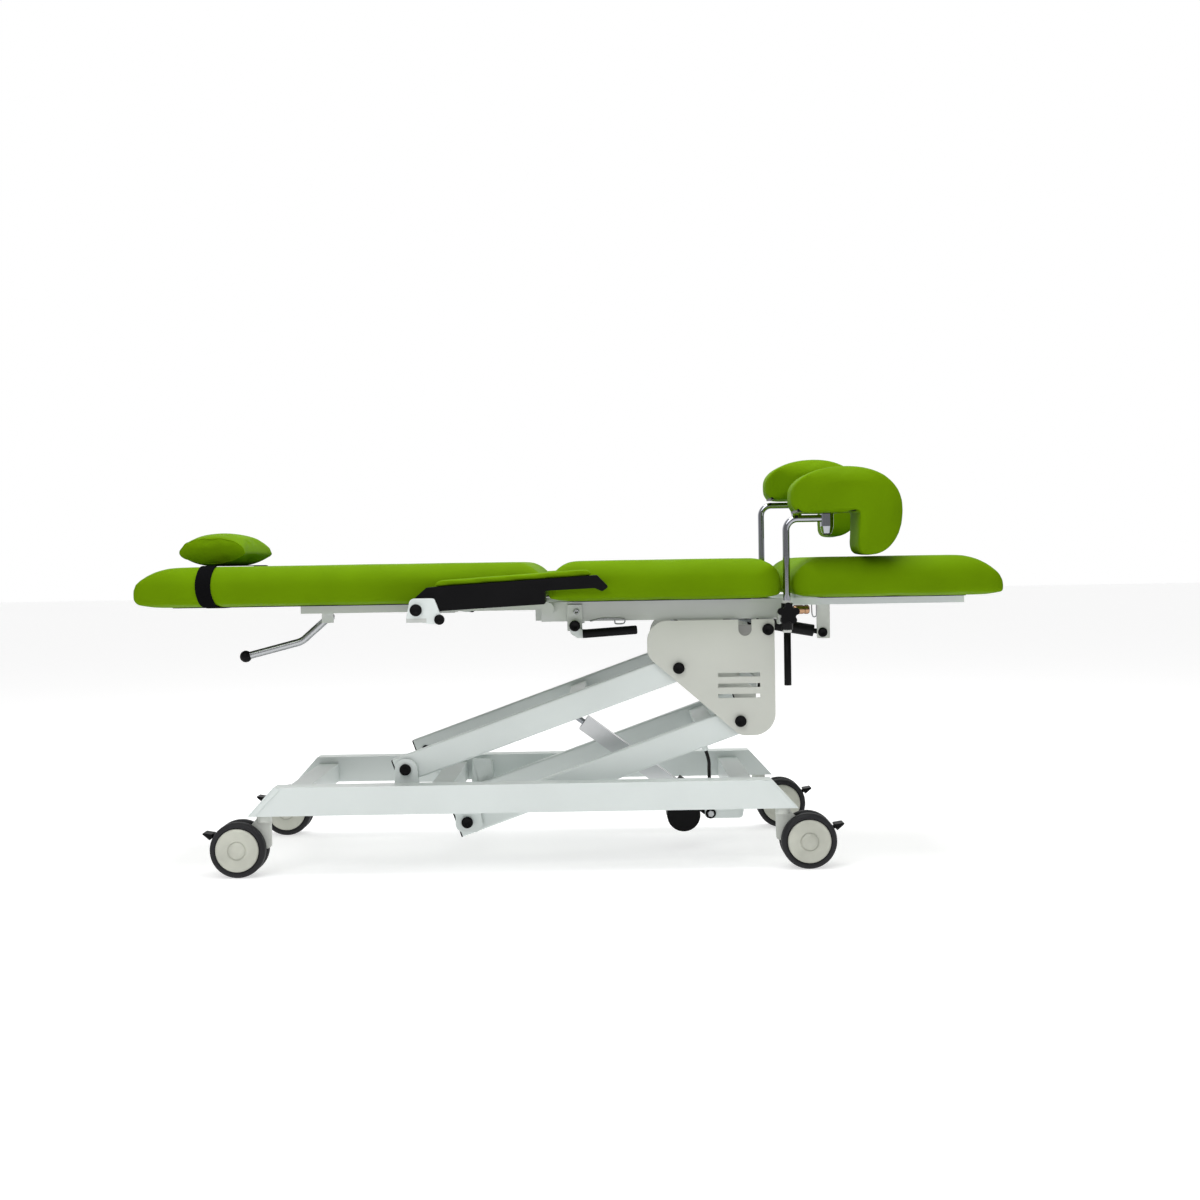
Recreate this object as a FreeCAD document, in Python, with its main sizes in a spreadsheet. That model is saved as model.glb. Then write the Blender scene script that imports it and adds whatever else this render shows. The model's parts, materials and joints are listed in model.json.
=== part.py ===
"""Electric gynecological chair: three upholstered sections on a parallelogram lift with four casters.

Millimetres. +X points to the foot end, +Z up, the floor is Z = 0, and Y = 0 is the plane of symmetry.
"""
import FreeCAD, Part
import math
import os
import re

from FreeCAD import Placement, Rotation, Vector

# Driving dimensions, written to the spreadsheet
DIMS = {
    # Base frame
    "base_x": -112.0, "rail_bottom": 1234.0, "rail_top": 1117.0, "rail_low": 137.0, "rail_high": 201.0,
    "rail_out": 290.0, "rail_width": 50.0, "sheet_wall": 4.0, "cross_long": 50.0, "cross_low": 139.0,
    "cross_high": 45.0, "head_cross_x": -640.0, "mid_cross_x": -307.0, "foot_cross_x": 390.0,
    "socket_long": 56.0, "socket_high": 58.0, "drill": 60.0, "long_drill": 200.0,
    # Casters
    "stem_x": 584.0, "stem_y": 265.0, "stem_radius": 10.0, "stem_long": 20.0, "collar_radius": 17.0,
    "collar_high": 14.0, "collar_play": 0.5, "wheel_radius": 62.5, "wheel_wide": 25.0, "wheel_gap": 7.5,
    "tyre_round": 8.0, "trail": 56.0, "axle_radius": 6.0, "axle_proud": 2.0, "web_thick": 12.0,
    "web_radius": 44.0, "web_neck": 15.5, "web_reach": 20.0, "web_corner": 8.0, "web_into_collar": 8.0,
    "pedal_pivot": 46.0, "pedal_angle": 25.0, "pedal_neck": 6.0, "pedal_pin": 3.0, "pedal_eye": 8.0,
    "pedal_ear": 9.0, "pedal_slot": 13.0, "pedal_play": 0.6, "pedal_arm": 25.0, "pedal_long": 27.0,
    "pedal_wide": 34.0, "pedal_high": 15.0, "pedal_thick": 8.0, "pedal_clear": 4.0, "disc_radius": 49.0,
    "disc_proud": 2.5,
    # Lift linkage
    "lift_ax": -382.0, "lift_az": 228.0, "lift_bx": -243.0, "lift_bz": 105.0, "arm_long": 665.0,
    "arm_angle": 19.5, "arm_over": 23.0, "arm_high": 60.0, "arm_wide": 30.0, "arm_out": 205.0,
    "arm_round": 5.0, "tube_wall": 3.0, "pin_radius": 8.0, "pin_inside": 4.0, "run_fit": 0.05,
    "cap_radius": 12.0,
    "cap_high": 5.0, "ear_thick": 8.0, "ear_in": 209.0, "ear_radius": 24.0, "ear_toe": 14.0, "ear_heel": 4.0,
    "ear_below_rail": 6.0, "tab_high": 40.0, "tab_up": 10.0, "arm_cross": 40.0, "lower_cross_at": 590.0,
    # Lift actuator
    "drive_rx": 327.0, "drive_rz": 83.0, "drive_at": 367.6, "drive_eye": 12.0, "drive_pin": 6.0,
    "drive_width": 20.0, "gear_from": 24.0, "gear_long": 86.0, "gear_high": 58.0, "gear_wide": 50.0,
    "motor_radius": 40.0, "motor_long": 86.0, "motor_along": 54.0, "motor_below": 38.5, "profile": 38.0,
    "profile_from": 110.0, "profile_to": 377.0, "bore_from": 12.0, "bore_radius": 16.5, "rod_radius": 7.0,
    "rod_long": 266.0, "lug_thick": 8.0, "lug_gap": 22.0, "lug_nose": 14.0, "lug_heel": 14.0,
    "clevis_long": 51.0, "clevis_high": 32.0,
    # Carriage
    "plate_out": 222.0, "plate_thick": 6.0, "plate_left": 174.0, "plate_right": 464.0, "plate_top": 558.0,
    "plate_low": 294.0, "plate_inset": 20.0, "plate_knee_x": 383.0, "plate_knee_z": 477.0,
    "notch_x": 397.0, "notch_radius": 15.0,
    "notch_z": 536.0, "bar_size": 30.0, "bar_ax": 300.0, "bar_az": 400.0, "bar_bx": 437.0, "bar_bz": 410.0,
    "slot_long": 96.0, "slot_high": 9.0, "slot_x": 334.0, "slot_z": 428.0, "slot_pitch": 24.0,
    "tilt_x": 449.0, "tilt_z": 535.0,
    # Seat
    "frame_top": 605.0, "seat_left": -66.0, "seat_right": 502.0, "seat_low": 560.0, "seat_rail_out": 212.0,
    "seat_rail_wide": 28.0, "seat_cross_low": 588.0, "seat_tie_low": 596.0, "seat_cross_long": 40.0,
    "seat_tie_long": 65.0, "seat_head_x": -8.0, "seat_back_x": 165.0, "seat_tie_x": 215.0, "seat_foot_x": 425.0,
    "seat_pad_right": 474.0, "lug_long": 34.0, "lug_drop": 16.0, "tilt_lug_thick": 7.0, "bracket_low": 538.0,
    "bracket_high": 60.0, "clamp_arm_x": 470.0, "clamp_arm_long": 30.0, "clamp_arm_low": 548.0,
    "clamp_arm_high": 23.0, "clamp_sink": 3.0,
    # Shape of the pads
    "pad_top": 698.0, "pad_half": 310.0, "pad_round": 45.0, "corner": 75.0, "end_round": 62.0,
    "under_round": 12.0, "wedge_round": 30.0, "tip_round": 4.0, "head_round": 27.0, "nose_up": 32.0,
    "nose_under": 14.0, "nose_round": 30.0, "brow_in": 34.0, "brow_down": 22.0, "brow_round": 60.0,
    "slope_long": 114.0, "slope_round": 120.0, "plan_round": 20.0, "pad_reach": 1050.0,
    # Hinges of the three sections
    "back_hx": -50.0, "back_hz": 590.0, "leg_hx": 485.0, "leg_hz": 588.0, "hinge_pin": 6.0, "hinge_lug": 14.0,
    "wedge": 33.0, "wedge_gap": 2.0,
    # Backrest
    "back_left": -964.0, "bar_low": 588.0, "back_bar_left": -610.0, "back_bar_in": 215.0, "back_bar_wide": 20.0,
    "back_cross_long": 34.0, "back_mid_x": -330.0, "back_hinge_x": -110.0, "back_lug_left": -88.0,
    "back_lug_long": 53.0, "back_pin_long": 34.0, "carrier_x": -350.0, "carrier_long": 44.0,
    "carrier_low": 570.0, "carrier_thick": 9.0,
    # Legrest
    "leg_left": 502.0, "leg_right": 964.0, "leg_bar_right": 906.0, "leg_bar_out": 179.0, "leg_bar_wide": 14.0,
    "leg_hinge_x": 562.0, "leg_foot_x": 872.0, "leg_pin_long": 46.0, "leg_pin_mid": 22.0,
    # Gas springs
    "gas_radius": 14.0, "gas_bore": 12.0, "gas_rod": 4.5, "gas_eye": 10.0, "gas_pin": 4.0, "gas_wide": 14.0,
    "gas_neck": 6.0, "gas_from": 20.0, "gas_bottom": 24.0, "gas_gap": 18.0, "gas_plate": 4.0,
    # Leg supports
    "post_x": 488.0, "post_y": 262.0, "post_radius": 8.0, "post_low": 412.0, "post_high": 784.0,
    "post_bend": 26.0, "head_x": 580.0, "bush_radius": 15.0, "bush_low": 750.0, "bush_high": 794.0,
    "bush_tip": 11.0, "bush_taper": 16.0, "stud_below": 3.0, "support_low": 804.0, "support_raise": 48.0,
    "support_half": 75.0, "support_y": 255.0,
    "support_left": 483.0, "support_right": 738.0, "support_inner": 652.0, "support_high": 95.0,
    "support_drop": 98.0, "head_left": 508.0, "head_long": 130.0, "head_wide": 110.0, "head_thick": 6.0,
    "clamp_radius": 13.0, "clamp_low": 535.0, "clamp_high": 60.0, "boss_radius": 9.0, "boss_long": 8.0,
    "knob_radius": 17.0, "knob_lobe": 8.0, "knob_thick": 18.0, "knob_z": 572.0, "knob_gap": 6.5,
    "collar_wall": 2.0, "collar_over": 6.0,
    # Armrests and headrest
    "arm_in": 322.0, "rest_wide": 70.0, "rest_px": -328.0, "rest_pz": 597.0, "rest_gap": 2.0,
    "bracket_thick": 7.0, "rest_pad": 13.0, "rest_pad_inset": 3.0, "rest_pin_inside": 8.0,
    "pillow_left": -910.0, "pillow_right": -754.0, "pillow_half": 150.0, "pillow_high": 778.0,
    "pillow_tip": 24.0, "pillow_gap": 1.0,
    # Levers
    "lever_x": 10.0, "lever_z": 550.0, "lever_shaft": 6.0, "lever_plate": 5.0, "lever_eye": 11.0,
    "lever_toe_x": 36.0, "lever_toe_low": 522.0, "lever_toe_high": 542.0, "lever_play": 1.0,
    "grip_radius": 10.0, "grip_long": 124.0, "grip_x": 28.0, "grip_z": 532.0, "grip_angle": 3.5,
    "grip_round": 4.0, "back_lever_x": -552.0, "back_lever_z": 578.0, "back_lever_y": 206.0,
    "back_lever_radius": 8.5, "back_lever_eye": 13.0, "back_lever_wide": 12.0, "back_lever_pin": 5.0,
    "lever_bend_x": -614.0, "lever_bend_z": 524.0, "lever_bend": 45.0, "lever_end_x": -732.0,
    "lever_end_z": 494.3, "lever_lug_long": 26.0, "lever_lug_thick": 6.0, "lever_lug_low": 566.0,
    "lever_lug_high": 24.0, "lever_pin_long": 23.0, "knob_end": 12.5, "knob_end_long": 24.0,
    "knob_end_round": 10.0, "knob_end_chamfer": 3.0,
    # Control box and cable
    "box_long": 60.0, "box_deep": 44.0, "box_high": 38.0, "box_x": 290.0, "cable_radius": 4.0,
    "gland_radius": 7.0, "gland_x": 312.0, "gland_y": 206.0, "gland_high": 8.0, "arm_gland_at": 568.0,
    "arm_gland_long": 10.0,
}

doc = FreeCAD.newDocument("chair")
sheet = doc.addObject("Spreadsheet::Sheet", "dims")
for row, (alias, value) in enumerate(DIMS.items(), start=1):
    sheet.set(f"A{row}", alias)
    sheet.set(f"B{row}", str(value))
    sheet.setAlias(f"B{row}", alias)
doc.recompute()


class Sizes:
    """Reads the driving dimensions back from the sheet by name."""

    def __getattr__(self, alias):
        return float(sheet.get(alias))


S = Sizes()
nodes = {}
AXES = {"x": Rotation(Vector(0, 1, 0), 90), "y": Rotation(Vector(1, 0, 0), -90), "z": Rotation()}
SIDES = {"near": -1, "far": 1}


def bind(obj, **sizes):
    """Binds sizes to expressions of the sheet's aliases, such as "rail_high - rail_low"."""
    for prop, text in sizes.items():
        obj.setExpression(prop, re.sub(r"[a-z][a-z_]+", r"dims.\g<0>", text))
    return obj


def turn_y(degrees):
    """A turn that lifts +X towards +Z."""
    return Rotation(Vector(0, 1, 0), -degrees)


def box(name, length, width, height, corner, rotation=None):
    obj = doc.addObject("Part::Box", name)
    bind(obj, Length=length, Width=width, Height=height)
    obj.Placement = Placement(Vector(*corner), rotation or Rotation())
    return obj


def cylinder(name, radius, height, start, axis="z"):
    obj = doc.addObject("Part::Cylinder", name)
    bind(obj, Radius=radius, Height=height)
    obj.Placement = Placement(Vector(*start), AXES[axis])
    return obj


def across(name, radius, length, x, z, y_mid=0.0):
    """A round bar along Y with its middle at y_mid."""
    obj = cylinder(name, radius, length, (x, 0, z), "y")
    doc.recompute()
    obj.Placement.Base = Vector(x, y_mid - obj.Height.Value / 2, z)
    return obj


def rounded_ends(name, bar, start_round, end_round):
    """A round bar with both rims rounded; its edge 1 is the far rim and edge 3 the near one."""
    obj = doc.addObject("Part::Fillet", name)
    obj.Base = bar
    obj.Edges = [(1, end_round, end_round), (3, start_round, start_round)]
    return obj


def rounded_sides(name, bar, radius):
    """A box with its four edges along X rounded, which are its edges 9 to 12."""
    obj = doc.addObject("Part::Fillet", name)
    obj.Base = bar
    obj.Edges = [(edge, radius, radius) for edge in range(9, 13)]
    return obj


def corner_edges(points):
    """Edges of a closed outline whose points are (u, v, corner radius)."""
    count = len(points)
    ends = []
    arcs = []
    for i, (u, v, radius) in enumerate(points):
        here = Vector(u, v, 0)
        before = Vector(*points[i - 1][:2], 0) - here
        after = Vector(*points[(i + 1) % count][:2], 0) - here
        if radius == 0:
            ends.append((here, here))
            arcs.append(None)
            continue
        half = before.getAngle(after) / 2
        reach = radius / math.tan(half)
        start = here + before.normalize() * reach
        end = here + after.normalize() * reach
        inward = (before + after).normalize()
        middle = here + inward * (radius / math.sin(half) - radius)
        ends.append((start, end))
        arcs.append(Part.Arc(start, middle, end))
    edges = []
    for i in range(count):
        if arcs[i]:
            edges.append(arcs[i])
        start, end = ends[i][1], ends[(i + 1) % count][0]
        if start.distanceToPoint(end) > 1e-6:
            edges.append(Part.LineSegment(start, end))
    return edges


def pad(name, edges, length, plane="XZ_Plane", offset=(0, 0, 0)):
    """A body padded from an outline. XZ pads run to -Y, YZ pads to +X and XY pads to +Z."""
    body = doc.addObject("PartDesign::Body", name)
    sketch = body.newObject("Sketcher::SketchObject", name + "_outline")
    origin = [f for f in body.Origin.OriginFeatures if f.Role == plane][0]
    sketch.AttachmentSupport = [(origin, "")]
    sketch.MapMode = "FlatFace"
    for edge in edges:
        sketch.addGeometry(edge, False)
    feature = body.newObject("PartDesign::Pad", name + "_pad")
    feature.Profile = sketch
    bind(feature, Length=length)
    body.Placement.Base = Vector(*offset)
    return body


def outline_pad(name, points, length, plane="XZ_Plane", offset=(0, 0, 0)):
    return pad(name, corner_edges(points), length, plane, offset)


def fuse(name, parts):
    obj = doc.addObject("Part::MultiFuse", name)
    obj.Shapes = parts
    return obj


def common(name, parts):
    obj = doc.addObject("Part::MultiCommon", name)
    obj.Shapes = parts
    return obj


def cut(name, base, tools):
    obj = doc.addObject("Part::Cut", name)
    obj.Base = base
    obj.Tool = tools[0] if len(tools) == 1 else fuse(name + "_tools", tools)
    return obj


def group(name, parts):
    obj = doc.addObject("Part::Compound", name)
    obj.Links = parts
    return obj


def node(name, obj, placement=None):
    """Registers an object as a sub-part, with its own label and place."""
    obj.Label = name
    if placement:
        obj.Placement = placement
    nodes[name] = obj
    return obj


def pipe(name, points, radius, bend):
    """A round bar along straight runs joined by tangent arcs of radius bend (one value per inner point)."""
    route = [Vector(*p) for p in points]
    edges = []
    start = route[0]
    for i in range(1, len(route) - 1):
        before = (route[i - 1] - route[i]).normalize()
        after = (route[i + 1] - route[i]).normalize()
        half = before.getAngle(after) / 2
        reach = bend[i - 1] / math.tan(half)
        inward = (before + after).normalize()
        middle = route[i] + inward * (bend[i - 1] / math.sin(half) - bend[i - 1])
        edges.append(Part.LineSegment(start, route[i] + before * reach).toShape())
        edges.append(Part.Arc(route[i] + before * reach, middle, route[i] + after * reach).toShape())
        start = route[i] + after * reach
    edges.append(Part.LineSegment(start, route[-1]).toShape())
    spine = doc.addObject("Part::Feature", name + "_spine")
    spine.Shape = Part.Wire(edges)
    section = doc.addObject("Part::Circle", name + "_section")
    bind(section, Radius=radius)
    section.Placement = Placement(route[0], Rotation(Vector(0, 0, 1), route[1] - route[0]))
    sweep = doc.addObject("Part::Sweep", name)
    sweep.Sections = [section]
    sweep.Spine = spine
    sweep.Solid = True
    return sweep


# Places worked out from the driving dimensions
ARM_DIR = (math.cos(math.radians(S.arm_angle)), math.sin(math.radians(S.arm_angle)))
UPPER_END = (S.lift_ax + S.arm_long * ARM_DIR[0], S.lift_az + S.arm_long * ARM_DIR[1])
LOWER_END = (S.lift_bx + S.arm_long * ARM_DIR[0], S.lift_bz + S.arm_long * ARM_DIR[1])
DRIVE_END = (S.lift_ax + S.drive_at * ARM_DIR[0], S.lift_az + S.drive_at * ARM_DIR[1])
RAIL_IN = S.rail_out - S.rail_width
ARM_IN = S.arm_out - S.arm_wide
ARM_MID = S.arm_out - S.arm_wide / 2
PLATE_IN = S.plate_out - S.plate_thick
SEAT_RAIL_IN = S.seat_rail_out - S.seat_rail_wide
LEG_BAR_IN = S.leg_bar_out - S.leg_bar_wide
STEMS = {"head": S.base_x - S.stem_x, "foot": S.base_x + S.stem_x}


def base_rail(side, sign):
    """A folded sheet channel, open below, with its ends sloped and a socket for each caster stem."""
    def outline(inset, low):
        slope = (S.rail_bottom - S.rail_top) / 2 / (S.rail_high - S.rail_low)
        high = S.rail_high - inset
        half_low = S.rail_bottom / 2 - 1.5 * inset + slope * (S.rail_low - low)
        half_high = half_low - slope * (high - low)
        return [(S.base_x - half_low, low, 0), (S.base_x + half_low, low, 0),
                (S.base_x + half_high, high, 0), (S.base_x - half_high, high, 0)]
    y_high = S.rail_out if sign > 0 else -RAIL_IN
    shell = outline_pad(f"rail_shell_{side}", outline(0, S.rail_low), "rail_width", offset=(0, y_high, 0))
    below = S.rail_low - S.sheet_wall
    hollow = outline_pad(f"rail_hollow_{side}", outline(S.sheet_wall, below), "rail_width - 2 * sheet_wall",
                         offset=(0, y_high - S.sheet_wall, 0))
    channel = cut(f"rail_channel_{side}", shell, [hollow])
    blocks, holes = [], []
    for end, x in STEMS.items():
        blocks.append(box(f"socket_{end}_{side}", "socket_long", "rail_width - 2 * sheet_wall", "socket_high",
                          (x - S.socket_long / 2, y_high - S.rail_width + S.sheet_wall, S.rail_low)))
        holes.append(cylinder(f"socket_hole_{end}_{side}", "stem_radius + run_fit", "stem_long + 4",
                              (x, sign * S.stem_y, S.rail_low - 1)))
    limit = outline_pad(f"socket_limit_{side}", outline(0, S.rail_low), "rail_width", offset=(0, y_high, 0))
    inside = common(f"sockets_{side}", [fuse(f"socket_blocks_{side}", blocks), limit])
    return cut(f"rail_{side}", fuse(f"rail_body_{side}", [channel, inside]), holes)


def cross_tube(name, x_mid):
    outer = box(name + "_outer", "cross_long", "2 * (rail_out - rail_width)", "cross_high",
                (x_mid - S.cross_long / 2, -RAIL_IN, S.cross_low))
    inner = box(name + "_inner", "cross_long - 2 * tube_wall", "2 * rail_out", "cross_high - 2 * tube_wall",
                (x_mid - S.cross_long / 2 + S.tube_wall, -S.rail_out, S.cross_low + S.tube_wall))
    return cut(name, outer, [inner])


def drive_lugs():
    """Two plates under the foot cross tube that hold the actuator's rear pin, with the pin between them."""
    reach, half = S.drive_rx - S.lug_nose, S.cross_long / 2
    corner = S.drive_eye - 2
    points = [(reach, S.drive_rz + S.drive_eye, corner), (reach, S.drive_rz - S.drive_eye, corner),
              (S.foot_cross_x + S.lug_heel, S.drive_rz - S.drive_eye, corner),
              (S.foot_cross_x + half, S.cross_low, 0), (S.foot_cross_x - half, S.cross_low, 0)]
    plates = [outline_pad(f"drive_lug_{side}", points, "lug_thick",
                          offset=(0, sign * (S.lug_gap + S.lug_thick) / 2 + S.lug_thick / 2, 0))
              for side, sign in SIDES.items()]
    pin = across("drive_rear_pin", "drive_pin", "lug_gap + 2 * lug_thick", S.drive_rx, S.drive_rz)
    return fuse("drive_lug_set", plates + [pin])


def base():
    node("base_rails", group("base_rails", [base_rail(side, sign) for side, sign in SIDES.items()]))
    tubes = [cross_tube(f"{end}_cross", x) for end, x in
             (("head", S.head_cross_x), ("mid", S.mid_cross_x), ("foot", S.foot_cross_x))]
    node("base_cross_members", group("base_cross_members", tubes + [drive_lugs()]))
    ears, pins = [], []
    for side, sign in SIDES.items():
        y_high = S.ear_in + S.ear_thick if sign > 0 else -S.ear_in
        for key, x, z, low, high in (("a", S.lift_ax, S.lift_az, S.rail_low, S.lift_az + S.ear_radius),
                                     ("b", S.lift_bx, S.lift_bz, S.lift_bz - S.ear_radius,
                                      S.rail_high - S.ear_below_rail)):
            round_low, round_high = (0, S.ear_radius - 1) if key == "a" else (S.ear_radius - S.ear_heel, 0)
            points = [(x - S.ear_radius - S.ear_heel, low, round_low),
                      (x + S.ear_radius + S.ear_toe, low, round_low),
                      (x + S.ear_radius, high, round_high), (x - S.ear_radius, high, round_high)]
            plate = outline_pad(f"ear_{key}_{side}", points, "ear_thick", offset=(0, y_high, 0))
            y_tab = sign * (S.ear_in + S.ear_thick + RAIL_IN) / 2
            tab = box(f"ear_tab_{key}_{side}", "2 * ear_radius", "rail_out - rail_width - ear_in - ear_thick",
                      "tab_high", (x - S.ear_radius + S.ear_heel,
                                   y_tab - (RAIL_IN - S.ear_in - S.ear_thick) / 2, S.rail_low + S.tab_up))
            hole = across(f"ear_hole_{key}_{side}", "pin_radius + run_fit", "drill", x, z, sign * S.ear_in)
            ears.append(cut(f"ear_cut_{key}_{side}", fuse(f"ear_body_{key}_{side}", [plate, tab]), [hole]))
            pins.append(pivot_pin(f"base_pin_{key}_{side}", x, z, sign, S.ear_in + S.ear_thick))
    node("arm_pivot_brackets", group("arm_pivot_brackets", ears))
    node("base_pivot_pins", group("base_pivot_pins", pins))
    case = box("control_case", "box_long", "box_deep", "box_high", (S.box_x, -RAIL_IN, S.rail_low))
    gland = cylinder("control_gland", "gland_radius", "gland_high",
                     (S.gland_x, -S.gland_y, S.rail_low + S.box_high))
    node("control_box", fuse("control_box", [case, gland]))


def pivot_pin(name, x, z, sign, face):
    """A pin from inside the arm tube to its black cap, which sits on the face at that distance from Y = 0."""
    inner = ARM_IN - S.pin_inside
    shank = across(name + "_shank", "pin_radius", str(face - inner), x, z, sign * (face + inner) / 2)
    cap = across(name + "_cap", "cap_radius", "cap_high", x, z, sign * (face + S.cap_high / 2))
    return fuse(name, [shank, cap])


def caster(end, side):
    """A twin-wheel caster: web with stem and axle, a pair of wheels and a brake pedal."""
    out = -1 if end == "head" else 1
    key = f"{end}_{side}"
    x, y = STEMS[end], SIDES[side] * S.stem_y
    axle_x, axle_z = x + out * S.trail, S.wheel_radius
    collar_low = S.rail_low - S.collar_play - S.collar_high
    web_y = y + S.web_thick / 2
    neck, corner, web_top = S.web_neck, S.web_corner, collar_low + S.web_into_collar
    toe, heel = (axle_x + S.web_reach, x - neck) if out > 0 else (x + neck, axle_x - S.web_reach)
    web_points = [(x - neck, web_top, 0), (x + neck, web_top, 0), (toe, axle_z, corner), (heel, axle_z, corner)]
    web = fuse(f"web_{key}", [
        across(f"web_disc_{key}", "web_radius", "web_thick", axle_x, axle_z, y),
        outline_pad(f"web_link_{key}", web_points, "web_thick", offset=(0, web_y, 0)),
        cylinder(f"stem_collar_{key}", "collar_radius", "collar_high", (x, y, collar_low)),
        cylinder(f"stem_pin_{key}", "stem_radius", "stem_long", (x, y, collar_low + S.collar_high - 1)),
        across(f"axle_{key}", "axle_radius", "2 * (wheel_gap + wheel_wide + axle_proud)", axle_x, axle_z, y)])
    angle = math.radians(S.pedal_angle)
    pivot = (axle_x + out * S.pedal_pivot * math.cos(angle), axle_z + S.pedal_pivot * math.sin(angle))
    ear = across(f"pedal_ear_{key}", "pedal_ear", "web_thick", pivot[0], pivot[1], y)
    slot = across(f"pedal_slot_{key}", "pedal_slot", "pedal_neck + pedal_play", pivot[0], pivot[1], y)
    pin = across(f"pedal_pin_{key}", "pedal_pin", "web_thick", pivot[0], pivot[1], y)
    slotted = cut(f"web_slotted_{key}", fuse(f"web_ear_{key}", [web, ear]), [slot])
    node(f"caster_fork_{key}", fuse(f"caster_fork_{key}", [slotted, pin]))
    wheels = []
    for hand in (-1, 1):
        middle = y + hand * (S.wheel_gap + S.wheel_wide / 2)
        tyre = across(f"tyre_{key}_{hand + 1}", "wheel_radius", "wheel_wide", axle_x, axle_z, middle)
        rounded = rounded_ends(f"tyre_round_{key}_{hand + 1}", tyre, S.tyre_round, S.tyre_round)
        disc = across(f"disc_{key}_{hand + 1}", "disc_radius", "2 * disc_proud", axle_x, axle_z,
                      middle + hand * S.wheel_wide / 2)
        hole = across(f"hub_hole_{key}_{hand + 1}", "axle_radius + run_fit", "drill", axle_x, axle_z, middle)
        solid = fuse(f"wheel_body_{key}_{hand + 1}", [rounded, disc])
        wheels.append(cut(f"wheel_{key}_{hand + 1}", solid, [hole]))
    node(f"caster_wheels_{key}", group(f"caster_wheels_{key}", wheels))
    eye = cylinder(f"pedal_eye_{key}", "pedal_eye", "pedal_neck", (0, -S.pedal_neck / 2, 0), "y")
    arm = box(f"pedal_arm_{key}", "pedal_arm", "pedal_neck", "pedal_thick",
              (0, -S.pedal_neck / 2, -S.pedal_thick / 2))
    root, half = S.wheel_radius - S.pedal_pivot + S.pedal_clear, S.pedal_high / 2
    leaf = [(root, -half, 2), (root + S.pedal_long, 0, 2), (root, half, 2)]
    tongue = outline_pad(f"pedal_tongue_{key}", leaf, "pedal_wide", offset=(0, S.pedal_wide / 2, 0))
    bore = cylinder(f"pedal_bore_{key}", "pedal_pin + run_fit", "drill", (0, -S.drill / 2, 0), "y")
    pedal = cut(f"brake_pedal_{key}", fuse(f"pedal_body_{key}", [eye, arm, tongue]), [bore])
    turn = turn_y(S.pedal_angle) if out > 0 else turn_y(180 - S.pedal_angle)
    node(f"brake_pedal_{key}", pedal, Placement(Vector(pivot[0], y, pivot[1]), turn))


def arm_frame(name, cross_at, fittings):
    """Two hollow tubes and a cross tube, along local X from the lower pivots, with the fittings welded on."""
    parts = []
    for side, sign in SIDES.items():
        y_low = ARM_IN if sign > 0 else -S.arm_out
        bar = box(f"{name}_tube_{side}", "arm_long + 2 * arm_over", "arm_wide", "arm_high",
                  (-S.arm_over, y_low, -S.arm_high / 2))
        outer = rounded_sides(f"{name}_round_{side}", bar, S.arm_round)
        inner = box(f"{name}_hollow_{side}", "arm_long + 2 * arm_over", "arm_wide - 2 * tube_wall",
                    "arm_high - 2 * tube_wall",
                    (-S.arm_over, y_low + S.tube_wall, -S.arm_high / 2 + S.tube_wall))
        holes = [across(f"{name}_hole_{end}_{side}", "pin_radius + run_fit", "2 * arm_wide", at, 0,
                        sign * (ARM_IN + S.arm_wide / 2))
                 for end, at in (("low", 0), ("high", S.arm_long))]
        parts.append(cut(f"{name}_wall_{side}", outer, [inner] + holes))
    cross_outer = box(f"{name}_cross", "arm_cross", "2 * (arm_out - arm_wide)", "arm_cross",
                      (cross_at - S.arm_cross / 2, -ARM_IN, -S.arm_cross / 2))
    cross_inner = box(f"{name}_cross_hollow", "arm_cross - 2 * tube_wall", "2 * (arm_out - arm_wide)",
                      "arm_cross - 2 * tube_wall",
                      (cross_at - S.arm_cross / 2 + S.tube_wall, -ARM_IN, -S.arm_cross / 2 + S.tube_wall))
    parts.append(cut(f"{name}_cross_wall", cross_outer, [cross_inner]))
    return group(name, parts + fittings)


def lift():
    clevis_from = S.drive_at - S.clevis_high / 2
    cross_at = clevis_from + S.clevis_long + S.arm_cross / 2
    ears = []
    for side, sign in SIDES.items():
        y_low = S.lug_gap / 2 if sign > 0 else -S.lug_gap / 2 - S.lug_thick
        ears.append(box(f"clevis_{side}", "clevis_long", "lug_thick", "clevis_high",
                        (clevis_from, y_low, -S.clevis_high / 2)))
    pin = across("clevis_pin", "drive_pin", "lug_gap + 2 * lug_thick", S.drive_at, 0)
    upper = arm_frame("upper_arm_frame", cross_at, [fuse("clevis", ears + [pin])])
    node("upper_arm_frame", upper, Placement(Vector(S.lift_ax, 0, S.lift_az), turn_y(S.arm_angle)))
    gland = cylinder("arm_gland", "gland_radius", "arm_gland_long",
                     (S.arm_gland_at, -ARM_MID, -S.arm_high / 2 - S.arm_gland_long))
    lower = arm_frame("lower_arm_frame", S.lower_cross_at, [gland])
    node("lower_arm_frame", lower, Placement(Vector(S.lift_bx, 0, S.lift_bz), turn_y(S.arm_angle)))


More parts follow.
